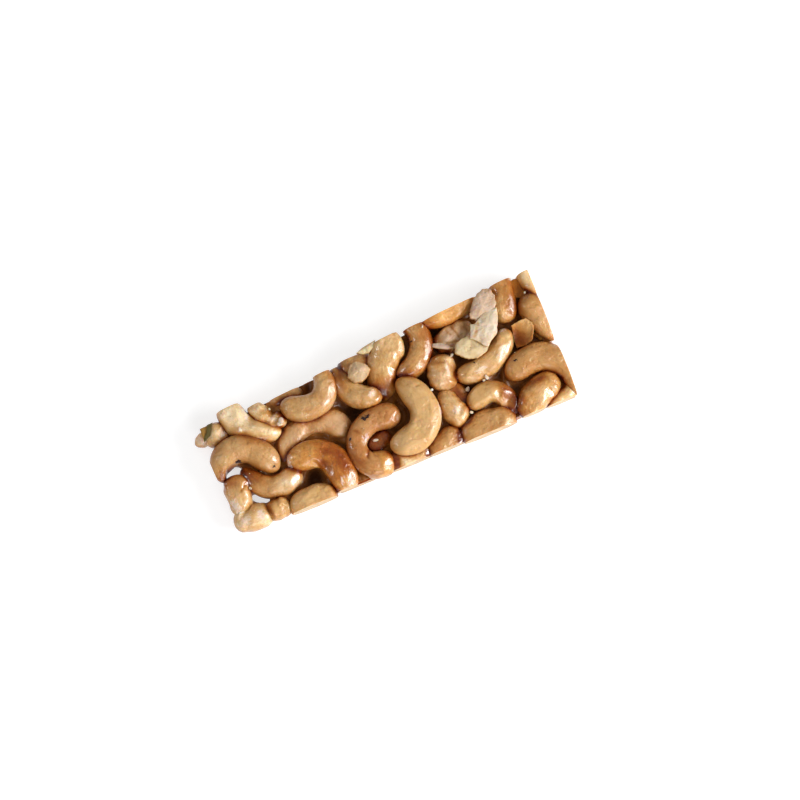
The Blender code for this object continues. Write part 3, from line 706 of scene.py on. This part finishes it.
def cap_points(mesh):
    """1 at the points that lie inside a cut face, by the many-sided faces that close the cuts."""
    inside = np.zeros(len(mesh.vertices))
    for face in mesh.polygons:
        if face.material_index == 1 and face.loop_total > 4:
            inside[np.array(face.vertices)] = 1.0
    return inside


def write_colour(mesh, skin):
    """Store the colour that the finishes start from."""
    write_attribute(mesh, "skin", "FLOAT_COLOR", np.column_stack([skin, np.ones(len(skin))]))


def paint(mesh, skin, coat, scorch=0.0, crazed_and_highlight=0.0):
    """Store the colour, the wetness, the scorched marks, and the crazing and painted highlights.
    """
    write_colour(mesh, skin)
    for name, values in (("coat", coat), ("scorch", scorch), ("crazed_and_highlight", crazed_and_highlight)):
        write_attribute(mesh, name, "FLOAT", values + np.zeros(len(skin)))


def make_nut(nut, random, materials):
    """One nut: its surface, its marks, its cuts and its colour, darkened by caramel and painted
    shade and paled by crazing and painted highlights.
    """
    uneven = UNEVEN_OWN.get(nut.name, UNEVEN)
    points, straight = nut_surface(nut, NUT_RINGS, NUT_SIDES, random, uneven)
    pressed = press_marks(points, nut.name, nut.z)
    points[:, 2] = np.maximum(points[:, 2], LOWEST)
    mesh = round_mesh(nut.name, [points], NUT_RINGS, NUT_SIDES)
    write_attribute(mesh, "straight", "FLOAT_VECTOR", straight)
    write_attribute(mesh, "marks", "FLOAT", pressed)
    cut_by_sides(mesh, nut.proud + random.uniform(-CUT_SPREAD, CUT_SPREAD))
    colour, depth, scorch, crazed_and_highlight = skin_colour(
        read_points(mesh), read(mesh.vertex_normals, "vector", 3), nut,
        read_attribute(mesh, "marks")[:, 0],
        drawn_streaks(read_attribute(mesh, "straight"), random))
    colour[cap_points(mesh) > 0.5] = linear(TONES["cut"]) * random.uniform(0.82, 1.0)
    wet = np.clip(0.22 * depth + 0.65 * nut.gloss - 0.5 * crazed_and_highlight, 0, 1)
    paint(mesh, colour, wet, scorch, crazed_and_highlight)
    return finish_piece("nut_" + nut.name, mesh, materials["coated_nut"], materials["cut_nut"])


def scatter_under_nuts(random):
    """The lower layer's nuts, kept apart from each other and clear of the gaps and holes."""
    nuts = []
    for _ in range(UNDER_TRIES):
        x, y = random.uniform(*UNDER_X), random.uniform(*UNDER_Y)
        apart = UNDER_APART if abs(y) < UNDER_EDGE else UNDER_EDGE_APART
        near_nut = any(math.hypot(x - nut.x, y - nut.y) < apart for nut in nuts)
        near_gap = any(math.hypot(x - gap[0], y - gap[1]) < UNDER_CLEAR for gap in POCKETS + HOLES)
        if not near_nut and not near_gap:
            bend = random.choice([-1, 1]) * random.uniform(8, 16)
            nuts.append(Nut(
                "under", x, y, z=random.uniform(2.1, 2.5), heading=random.uniform(0, 360),
                length=random.uniform(13, 18), bend=bend, width=random.uniform(8.0, 10.0),
                height=random.uniform(5.8, 6.4), taper=random.uniform(-0.1, 0.15)))
    return nuts


def make_under_nuts(random, materials):
    """The lower layer: nuts pressed flat on the board, seen from below and in the cut sides.

    They end just below the slab's upper sheet, and each stands in its cuts by a seat of its own.
    """
    parts, tones, straights, seats = [], [], [], []
    for nut in scatter_under_nuts(random):
        points, straight = nut_surface(nut, UNDER_RINGS, UNDER_SIDES, random, UNDER_UNEVEN)
        level = slab_top(points[:, 0], points[:, 1]) - UNDER_COVER
        points[:, 2] = np.clip(points[:, 2], UNDER_LOWEST, level)
        depth = 0.25 + 0.9 * np.clip(points[:, 2] / 1.6, 0, 1)
        tone = ("tan", "light", "gold", "rose")[random.integers(0, 4)]
        tones.append(darkened_tone(tone, depth))
        parts.append(points)
        straights.append(straight)
        seats.append(np.full(len(points), random.uniform(0.0, UNDER_SEAT)))
    mesh = round_mesh("under_nuts", parts, UNDER_RINGS, UNDER_SIDES)
    for name, kind, values in (("straight", "FLOAT_VECTOR", straights),
                               ("tone", "FLOAT_VECTOR", tones), ("seat", "FLOAT", seats)):
        write_attribute(mesh, name, kind, np.concatenate(values))
    cut_by_sides(mesh, UNDER_CUT)
    stagger_cuts(mesh, UNDER_CUT)
    colour = read_attribute(mesh, "tone")
    colour[cap_points(mesh) > 0.5] = linear(TONES["cut"]) * 0.8
    paint(mesh, colour, 0.15)
    return finish_piece("under_nuts", mesh, materials["coated_nut"], materials["cut_nut"])


# ---- broken pieces
def plate_surface(plate, random):
    """Points of a flat broken piece and which of them lie on its broken edge.

    The rim runs evenly along the corners, with a fine jag of sine waves. P(s, b) = middle +
    s (rim(b) - middle), and its height is top + slopes + swell (1 - s^2) + relief, less a part of
    the thickness on the way down.
    """
    loop = np.vstack([plate.corners, plate.corners[:1]])
    length = np.concatenate([[0.0], np.cumsum(np.hypot(*np.diff(loop, axis=0).T))])
    along = np.arange(RIM_POINTS) / RIM_POINTS
    rim = np.stack([np.interp(along * length[-1], length, loop[:, axis]) for axis in (0, 1)], -1)
    middle = rim.mean(axis=0)
    jag = sum(random.normal() * np.sin(2 * math.pi * (k * along + random.uniform()))
              for k in range(5, 24))
    rim = middle + (rim - middle) * (1 + RIM_JAG * jag)[:, None]
    s, down = np.repeat(PLATE_RINGS, RIM_POINTS, axis=0).T
    flat = middle + s[:, None] * (np.tile(rim, (len(PLATE_RINGS), 1)) - middle)
    flat = np.vstack([flat, middle, middle])
    s, down = np.append(s, [0.0, 0.0]), np.append(down, [0.0, 1.0])
    away = flat - middle
    rough = np.zeros(len(flat))
    for _ in range(9):
        way = random.normal(size=2) * 0.8
        rough += 0.06 * np.sin(flat @ way + random.uniform(0, 6.3))
    height = plate.top + away[:, 0] * plate.slope_x + away[:, 1] * plate.slope_y
    height = height + plate.swell * (1 - s ** 2) + (rough * (down < 0.2) - plate.thick * down)
    return np.column_stack([flat, height]), (down > 0.05) & (down < 0.9)


def make_plate(plate, random, material, prefix):
    """One broken piece, flake or sheet of caramel."""
    points, edge = plate_surface(plate, random)
    half = plate.thick / 2
    pressed = press_marks(points, plate.name, plate.top - half, half)
    mesh = round_mesh(plate.name, [points], len(PLATE_RINGS) + 1, RIM_POINTS)
    mesh.set_sharp_from_angle(angle=math.radians(PLATE_SHARP))
    write_attribute(mesh, "straight", "FLOAT_VECTOR", points - points.mean(axis=0))
    if plate.coat is None:
        colour = np.tile(linear(plate.tone), (len(points), 1))
    else:
        up = read(mesh.vertex_normals, "vector", 3)[:, 2]
        # Darker beside other nuts, on the broken edge, in hollows and creases and on steep sides:
        # caramel there and painted shade.
        depth = plate.coat + 0.3 * np.exp(-nearest_nut(points, plate.name) / 0.5) * (up < 0.5)
        depth += 0.2 * edge + 0.8 * pressed + 0.25 * (1 - np.clip(up, 0, 1))
        colour = darkened_tone(plate.tone, depth)
    paint(mesh, colour, plate.gloss)
    return finish_piece(prefix + plate.name, mesh, material)


def stone_surface(length, width, height, random):
    """A rounded stone with flat faces.

    Distance in direction d = (sum (d.n / k)^14)^(-1/14) over the faces' directions n and
    distances k, and at most 1.15.
    """
    polar, a = round_grid(CRUMB_RINGS, CRUMB_SIDES)
    way = np.stack([-np.cos(polar), np.sin(polar) * np.cos(a), np.sin(polar) * np.sin(a)], -1)
    normals = random.normal(size=(STONE_FACES, 3)) * (1, 1, 0.35)
    normals = np.concatenate([normals, [[0, 0, 1], [0, 0, -1], [0.1, 0.05, 1]]])
    normals /= np.linalg.norm(normals, axis=1)[:, None]
    reach = np.concatenate([random.uniform(0.78, 1.0, STONE_FACES), [0.8, 0.8, 0.82]])
    near = np.maximum(way @ normals.T, 0) / reach
    distance = ((near ** STONE_POWER).sum(axis=1) + 1e-9) ** (-1 / STONE_POWER)
    return way * np.minimum(distance, 1.15)[:, None] * (length / 2, width / 2, height / 2)


# ---- materials
def set_inputs(tree, node, values):
    """Give inputs of a node numbers, colours or vectors, or link them to sockets."""
    for key, value in values.items():
        if isinstance(value, bpy.types.NodeSocket):
            tree.links.new(value, node.inputs[key])
        else:
            node.inputs[key].default_value = (
                (*value, 1.0) if node.inputs[key].type == "RGBA" else value)


class Finish:
    """A node material in the making. Its values may be fixed or come from a socket."""

    def __init__(self, name):
        self.material = bpy.data.materials.new(name)
        self.material.use_nodes = True
        self.tree = self.material.node_tree

    def shade(self, **values):
        """Set the Principled shader, with _ for the spaces in its inputs' names."""
        values = {key.replace("_", " "): value for key, value in values.items()}
        set_inputs(self.tree, self.tree.nodes["Principled BSDF"], values)

    def node(self, kind, values=None, output=0, **settings):
        """One output of a new node."""
        node = self.tree.nodes.new("ShaderNode" + kind)
        for key, value in settings.items():
            setattr(node, key, value)
        set_inputs(self.tree, node, values or {})
        return node.outputs[output]

    def attribute(self, name, output="Fac"):
        """A point attribute."""
        return self.node("Attribute", output=output, attribute_name=name)

    def noise(self, vector, scale, detail=3.0, rough=0.55):
        """Noise over a position."""
        return self.node("TexNoise", {"Vector": vector, "Scale": scale, "Detail": detail,
                                      "Roughness": rough}, "Fac")

    def stretched(self, vector, *scale):
        """A position scaled by its own amount on each axis."""
        return self.node("Mapping", {"Vector": vector, "Scale": scale})

    def between(self, value, low, high, out_low=0.0, out_high=1.0):
        """Value taken from one range to another, and kept inside it."""
        return self.node("MapRange", {"Value": value, "From Min": low, "From Max": high,
                                      "To Min": out_low, "To Max": out_high})

    def spread(self, value, out_low=0.0, out_high=1.0):
        """Noise, which lies mostly between 0.3 and 0.7, spread over a range."""
        return self.between(value, 0.3, 0.7, out_low, out_high)

    def mix(self, factor, first, second, way="MIX"):
        """Two colours mixed."""
        return self.node("Mix", {0: factor, 6: first, 7: second}, 2, data_type="RGBA",
                         blend_type=way)

    def tinted(self, factor, colour, tint):
        """A colour mixed with itself times a tint."""
        return self.mix(factor, colour, self.mix(1.0, colour, tint, "MULTIPLY"))

    def math(self, operation, first, second=0.0):
        """One arithmetic step."""
        return self.node("Math", {0: first, 1: second}, operation=operation)

    def bump(self, *heights):
        """Stack bumps on the shader: each is a height, a strength and a distance in metres."""
        normal = None
        for height, strength, distance in heights:
            values = {"Height": height, "Strength": strength, "Distance": distance}
            if normal:
                values["Normal"] = normal
            normal = self.node("Bump", values)
        self.shade(Normal=normal)


def nut_skin(name, coated):
    """Roasted skin: the stored tone with rosy and straw-coloured blotches, fine streaks along the
    nut, grain, small dark specks, scorched marks, and pale pinkish patches of crazing and painted
    highlights; glossier where the caramel lies on it."""
    skin = Finish(name)
    where = skin.node("TexCoord", output="Object")
    straight = skin.attribute("straight", "Vector")
    mottle = skin.noise(where, 210.0)
    colour, coat = skin.attribute("skin", "Color"), skin.attribute("coat")
    uneven = skin.between(coat, 0.15, 0.6, 0.35, 1.0)
    for value, low, high in (
            (mottle, (0.86, 0.66, 0.4), (1.1, 1.17, 1.3)),
            (skin.noise(where, 520.0, 3.0, 0.6), (0.86, 0.8, 0.72), (1.11, 1.14, 1.18)),
            (skin.noise(skin.stretched(straight, 0.16, 1.3, 1.3), 1.0, 4.0, 0.65),
             (0.84, 0.77, 0.66), (1.09, 1.13, 1.18)),
            (skin.noise(where, 1900.0, 2.0, 0.6), (0.9, 0.88, 0.85), (1.08, 1.1, 1.12))):
        tint = skin.mix(skin.spread(value), low, high)
        colour = skin.mix(uneven, colour, tint, "MULTIPLY")
    rosy = skin.between(skin.noise(where, 300.0, 2.0), 0.54, 0.7, 0.0, 0.6)
    colour = skin.tinted(rosy, colour, (1.07, 0.98, 1.12))
    speck = skin.node("TexVoronoi", {"Scale": 420.0, "Vector": where}, "Distance")
    rare = skin.between(skin.noise(where, 90.0, 1.0), 0.55, 0.62, 0.0, 0.55)
    speck = skin.math("MULTIPLY", skin.between(speck, 0.06, 0.16, 1.0, 0.0), rare)
    colour = skin.tinted(speck, colour, (0.42, 0.3, 0.22))
    edge = skin.spread(skin.noise(where, 1100.0, 3.0, 0.7), -0.35, 0.35)
    burn = skin.between(skin.math("ADD", skin.attribute("scorch"), edge), 0.44, 0.54)
    colour = skin.mix(burn, colour, (0.03, 0.01, 0.008))
    flaw = skin.noise(skin.stretched(straight, 0.5, 1.6, 1.6), 1.0, 5.0, 0.7)
    # Pale pinkish white at the crazed glaze and at painted highlights, and in random flaws.
    pale = skin.math("ADD", skin.attribute("crazed_and_highlight"), skin.spread(flaw, -0.75, 0.45))
    pale = skin.between(pale, 0.3, 0.8, 0.0, 0.7)
    patch = skin.spread(skin.noise(where, 260.0, 3.0, 0.6), -0.3, 0.35)
    wet = skin.math("SUBTRACT", skin.math("ADD", coat, patch), burn)
    rough = (0.46, 0.25) if coated else (0.62, 0.4)
    skin.shade(Base_Color=skin.mix(pale, colour, (0.86, 0.7, 0.6)),
               Roughness=skin.between(wet, 0.0, 1.0, *rough), Specular_IOR_Level=0.34,
               Subsurface_Weight=0.35, Subsurface_Radius=(1.0, 0.45, 0.15),
               Subsurface_Scale=0.0022)
    if coated:
        skin.shade(Coat_Weight=skin.between(wet, 0.1, 0.9, 0.05, 0.9), Coat_Roughness=0.13)
    fine = skin.noise(skin.stretched(straight, 0.5, 2.6, 2.6), 1.0, 3.0, 0.6)
    pits = skin.between(skin.noise(where, 380.0, 2.0, 0.5), 0.3, 0.5)
    skin.bump((mottle, 0.8, 0.0008), (pits, 0.6, 0.00035), (fine, 0.4, 0.00016),
              (pale, 0.5, 0.0002))
    return skin.material


def cut_face():
    """The inside of a cut nut: fine grain, smears of caramel, knife drag, and the dark seam
    between the nut's two halves, which lies where the straightened nut's height is zero."""
    cut = Finish("cut_nut")
    where = cut.node("TexCoord", output="Object")
    grain = cut.noise(where, 1500.0, 4.0, 0.65)
    tint = cut.mix(cut.spread(grain), (0.86, 0.83, 0.78), (1.08, 1.08, 1.08))
    colour = cut.mix(1.0, cut.attribute("skin", "Color"), tint, "MULTIPLY")
    smear = cut.between(cut.noise(where, 330.0, 2.0), 0.42, 0.66)
    colour = cut.tinted(smear, colour, (0.8, 0.58, 0.3))
    height = cut.node("SeparateXYZ", {0: cut.attribute("straight", "Vector")}, "Z")
    height = cut.math("ADD", height, cut.spread(cut.noise(where, 260.0, 2.0), -0.35, 0.35))
    seam = cut.between(cut.math("ABSOLUTE", height), 0.06, 0.22, 1.0, 0.0)
    seam = cut.math("MULTIPLY", seam, cut.between(cut.noise(where, 180.0, 2.0), 0.4, 0.5))
    cut.shade(Base_Color=cut.tinted(seam, colour, (0.42, 0.26, 0.13)),
              Roughness=cut.between(smear, 0.0, 1.0, 0.6, 0.3))
    drag = cut.noise(cut.stretched(where, 220.0, 220.0, 1500.0), 1.0)
    sunk = cut.between(seam, 0.0, 1.0, 1.0, 0.0)
    cut.bump((drag, 0.5, 0.0004), (grain, 0.5, 0.0002), (sunk, 0.7, 0.0003))
    return cut.material


def caramel_finish():
    """Hard clear brown caramel: deep colour from the stored tone, swirls, glassy gloss."""
    clear = Finish("caramel")
    where = clear.node("TexCoord", output="Object")
    swirl, fine = clear.noise(where, 160.0, 4.0, 0.6), clear.noise(where, 700.0, 3.0, 0.6)
    tint = clear.mix(clear.spread(swirl), (0.72, 0.62, 0.52), (1.25, 1.35, 1.4))
    clear.shade(Base_Color=clear.mix(1.0, clear.attribute("skin", "Color"), tint, "MULTIPLY"),
                Roughness=clear.spread(fine, 0.2, 0.42), Specular_IOR_Level=0.16)
    clear.bump((swirl, 0.5, 0.0007), (fine, 0.3, 0.00015))
    return clear.material


# ---- caramel slab
def meniscus(x, y):
    """Height added beside the nuts: 1.7 exp(-gap / 1.3) of the gap to the nearest nut's side."""
    gap = np.full(x.shape, FAR)
    for line, half, _ in NUT_LINES.values():
        low, high = line.min(axis=0) - 9, line.max(axis=0) + 9
        near = (x > low[0]) & (x < high[0]) & (y > low[1]) & (y < high[1])
        step = np.hypot(x[near][:, None] - line[None, :, 0], y[near][:, None] - line[None, :, 1])
        gap[near] = np.minimum(gap[near], (step - half).min(axis=1))
    return MENISCUS * np.exp(-np.maximum(gap, 0) / MENISCUS_REACH)


def slab_grid():
    """Places x, y of the slab's grid, how near they lie to its left end, and the cells' corners.

    (u, v) fills the outline's four corners, and two sine waves of y make the left end ragged.
    """
    left, right = CORNERS[0][0] + SLAB_LEFT_INSET, CORNERS[1][0] - SLAB_INSET
    lean = CORNERS[2][0] - CORNERS[1][0]
    cells = int((right - left) / SLAB_STEP), int(SLAB_SPAN / SLAB_STEP)
    u, v = np.meshgrid(np.linspace(0, 1, cells[0] + 1), np.linspace(0, 1, cells[1] + 1),
                       indexing="ij")
    low = CORNERS[0][1] + (CORNERS[1][1] - CORNERS[0][1]) * u + SLAB_INSET
    high = CORNERS[3][1] + (CORNERS[2][1] - CORNERS[3][1]) * u - SLAB_INSET
    x = (left + (right - left + lean * v) * u).ravel()
    y = (low + (high - low) * v).ravel()
    near_left = np.exp(-(x - left) / LEFT_REACH)
    x = x + (0.5 * np.sin(0.9 * y + 1.0) + 0.35 * np.sin(2.3 * y)) * near_left
    index = np.arange(len(x)).reshape(u.shape)
    quads = np.stack([index[:-1, :-1], index[1:, :-1], index[1:, 1:], index[:-1, 1:]], -1)
    return x, y, near_left, quads.reshape(-1, 4)


def open_holes(x, y, quads):
    """Drop the cells inside the holes, and move the points round each out onto its oval."""
    inside = np.zeros(len(x), bool)
    for hx, hy, length, width, turn in HOLES:
        cos, sin = turned(turn)
        along = ((x - hx) * cos + (y - hy) * sin) / (length / 2)
        across = ((y - hy) * cos - (x - hx) * sin) / (width / 2)
        reach = np.hypot(along, across) + 1e-9
        deep = reach < HOLE_OPEN
        inside |= deep
        edge = (reach < 1.0) & ~deep
        along, across = along[edge] / reach[edge], across[edge] / reach[edge]
        x[edge], y[edge] = placed(hx, hy, along * length / 2, across * width / 2, cos, sin)
    return quads[~inside[quads].any(axis=1)]


def open_edges(quads, count):
    """The ways along the outline and the holes: those that only one quad goes."""
    ways = np.concatenate([quads[:, [0, 1]], quads[:, [1, 2]], quads[:, [2, 3]], quads[:, [3, 0]]])
    forward = ways[:, 0].astype(np.int64) * count + ways[:, 1]
    backward = ways[:, 1].astype(np.int64) * count + ways[:, 0]
    return ways[~np.isin(forward, backward)]


def slab_shell(x, y, low_x, top, under, quads):
    """Points and quads of the upper sheet, the lower sheet and the walls between them.

    The walls stand in levels k between 0 and 1, pushed sideways by sine waves times 4 k (1 - k),
    so that they aren't flat. The upper sheet's points come first and the lower sheet's last.
    """
    count = len(x)
    rim = open_edges(quads, count)
    corners = np.unique(rim)
    order = np.zeros(count, int)
    order[corners] = np.arange(len(corners))
    cx, cy, move = x[corners], y[corners], low_x[corners] - x[corners]
    points, faces, above = [np.stack([x, y, top], -1)], [], np.arange(count)
    for step in range(1, WALL_LEVELS + 1):
        k = step / WALL_LEVELS
        start = count + len(corners) * (step - 1)
        if step < WALL_LEVELS:
            below = start + order
            height = top[corners] * (1 - k) + under[corners] * k
            push = 4 * k * (1 - k) * WALL_PUSH
            points.append(np.stack([
                cx + move * k + push * np.sin(1.3 * cy + 2.1 * height),
                cy + push * np.sin(0.9 * cx + 1.7 * height) * np.sin(0.37 * cx), height], -1))
        else:
            below = start + np.arange(count)
            points.append(np.stack([low_x, y, under], -1))
        first, second = rim.T
        faces.append(np.stack([above[second], above[first], below[first], below[second]], -1))
        above = below
    return np.concatenate(points), np.concatenate([quads, quads[:, ::-1] + start, *faces])


def make_slab(materials):
    """The caramel: a waved sheet over a flat one with the same outline, joined all round.

    The upper sheet creeps up beside the nuts and slopes down to the left end, where the lower one
    is drawn in. The caramel is pale where it creeps up and dark elsewhere; in the deep gaps it is
    kept dark as painted shade.
    """
    x, y, near_left, quads = slab_grid()
    quads = open_holes(x, y, quads)
    rise = meniscus(x, y)
    ripple = SLAB_RIPPLE * np.sin(1.7 * x + 0.9 * y) * np.sin(1.3 * y - 0.6 * x)
    top = slab_top(x, y) + rise + ripple - LEFT_DROP * near_left ** 2
    under = SLAB_FLOOR + 0.05 * np.sin(0.8 * x) * np.sin(0.7 * y + 1)
    low_x = x + (1.2 + 0.6 * np.sin(0.6 * y + 2.0)) * near_left
    points, faces = slab_shell(x, y, low_x, np.maximum(top, SLAB_LEAST), under, quads)
    used = np.zeros(len(points), bool)
    used[faces.ravel()] = True
    mesh = bpy.data.meshes.new("caramel_slab")
    mesh.from_pydata(points[used].tolist(), [], (np.cumsum(used) - 1)[faces].tolist())
    mesh.shade_smooth()
    mesh.set_sharp_from_angle(angle=math.radians(SLAB_SHARP))
    # In the deep gaps the pale creep beside the nuts is held back, so they stay dark: painted
    # shade.
    dip = np.clip((SLAB_TOP - slab_top(x, y)) / 3, 0, 1)
    thin = np.full(len(points), SLAB_WALLS)
    thin[:len(x)] = np.clip(rise / MENISCUS * (1 - dip), 0, 1)
    colour = SLAB_DEEP + (SLAB_THIN - SLAB_DEEP) * thin[:, None]
    write_colour(mesh, colour[used])
    return finish_piece("caramel_slab", mesh, materials["caramel"])


# ---- crumbs
def top_of(tops, x, y):
    """Highest point of the nuts within 0.7 mm of a place."""
    near = np.hypot(tops[:, 0] - x, tops[:, 1] - y) < 0.7
    return tops[near, 2].max() if near.any() else SLAB_TOP


def make_crumbs(tops, random, materials):
    """Small broken bits lying on the nuts and in the gaps, joined as one piece."""
    dust = [tuple(random.uniform(*span) for span in (DUST_X, DUST_Y, DUST_SIZE))
            for _ in range(DUST_COUNT)]
    parts, tones = [], []
    for x, y, size in CRUMBS + dust:
        wide = size * random.uniform(0.6, 0.9)
        stone = stone_surface(size, wide, size * 0.7, random)
        turn = random.uniform(0, 2 * math.pi)
        flat = placed(x, y, stone[:, 0], stone[:, 1], math.cos(turn), math.sin(turn))
        parts.append(np.stack([*flat, top_of(tops, x, y) + size * 0.18 + stone[:, 2]], -1))
        tones.append(np.tile(linear(TONES["crumb"]) * random.uniform(0.8, 1.0), (len(stone), 1)))
    mesh = round_mesh("crumbs", parts, CRUMB_RINGS, CRUMB_SIDES, smooth=False)
    write_attribute(mesh, "straight", "FLOAT_VECTOR", np.concatenate(parts))
    paint(mesh, np.concatenate(tones), 0.15)
    return finish_piece("crumbs", mesh, materials["broken_nut"])


# ---- studio
def make_floor():
    """A plain pale floor."""
    mesh = bpy.data.meshes.new("floor")
    ways = [(-1, -1), (1, -1), (1, 1), (-1, 1)]
    mesh.from_pydata([(FLOOR_SIZE * x, FLOOR_SIZE * y, 0) for x, y in ways], [], [(0, 1, 2, 3)])
    white = Finish("floor_white")
    white.shade(Base_Color=(FLOOR_GREY,) * 3, Emission_Color=(1.0, 1.0, 1.0),
                Emission_Strength=FLOOR_GLOW, Roughness=0.7)
    mesh.materials.append(white.material)
    add(bpy.data.objects.new("floor", mesh))


def view_axes():
    """Backward, right and up directions of the camera."""
    (turn_cos, turn_sin), (flat, height) = turned(VIEW_TURN), turned(VIEW_HEIGHT)
    back = Vector((turn_sin * flat, -turn_cos * flat, height))
    right = Vector((turn_cos, turn_sin, 0.0))
    return back, right, back.cross(right)


def make_camera():
    """A camera at the photograph's angle, moved sideways so that the bar lies where it should."""
    back, right, up = view_axes()
    per_px = VIEW_DISTANCE * SENSOR / VIEW_LENS / PICTURE_PX
    aim = Vector(VIEW_AIM) * MM
    aim -= right * VIEW_OFFSET_PX[0] * per_px
    aim += up * VIEW_OFFSET_PX[1] * per_px
    data = bpy.data.cameras.new("camera")
    data.lens = VIEW_LENS
    data.sensor_width = SENSOR
    camera = add(bpy.data.objects.new("camera", data))
    camera.rotation_mode = "QUATERNION"
    camera.location = aim + back * VIEW_DISTANCE
    camera.rotation_quaternion = (-back).to_track_quat("-Z", "Y")
    bpy.context.scene.camera = camera


def make_light(name, across, lift, height, distance, size, power, mirrored, lit):
    """A soft box placed by the picture: across to its right, lift to its top, height above."""
    _, right, _ = view_axes()
    forward = Vector((-right.y, right.x, 0.0))
    way = (right * across + forward * lift + Vector((0, 0, height))).normalized()
    data = bpy.data.lights.new(name, "AREA")
    data.shape = "RECTANGLE"
    data.size, data.size_y = size
    data.energy = power
    lamp = add(bpy.data.objects.new(name, data))
    lamp.location = way * distance
    lamp.rotation_mode = "QUATERNION"
    lamp.rotation_quaternion = (-way).to_track_quat("-Z", "Y")
    lamp.visible_glossy = mirrored
    lamp.visible_diffuse = lit


def make_studio():
    """White surroundings, soft boxes on the right, in front, on the left and above, and a small
    bright one that only shows in the gloss."""
    world = bpy.data.worlds.new("white_room")
    world.use_nodes = True
    set_inputs(world.node_tree, world.node_tree.nodes["Background"],
               {"Color": (1.0, 1.0, 1.0), "Strength": ROOM_GLOW})
    bpy.context.scene.world = world
    bpy.context.scene.view_settings.view_transform = "Standard"
    for box in BOXES:
        make_light(*box)


def build():
    """Make every piece, the studio and the camera."""
    random = np.random.default_rng(23)
    materials = {
        "coated_nut": nut_skin("coated_nut", True), "broken_nut": nut_skin("broken_nut", False),
        "cut_nut": cut_face(), "caramel": caramel_finish(),
    }
    nuts = [make_nut(nut, random, materials) for nut in NUTS]
    plates = [make_plate(plate, random, materials["broken_nut"], "piece_") for plate in PLATES]
    for film in FILMS:
        make_plate(film, random, materials["caramel"], "caramel_")
    make_under_nuts(random, materials)
    make_slab(materials)
    tops = np.concatenate([read_points(piece.data) / MM - LAYOUT_SHIFT for piece in nuts + plates])
    make_crumbs(tops, random, materials)
    make_floor()
    make_studio()
    make_camera()


build()
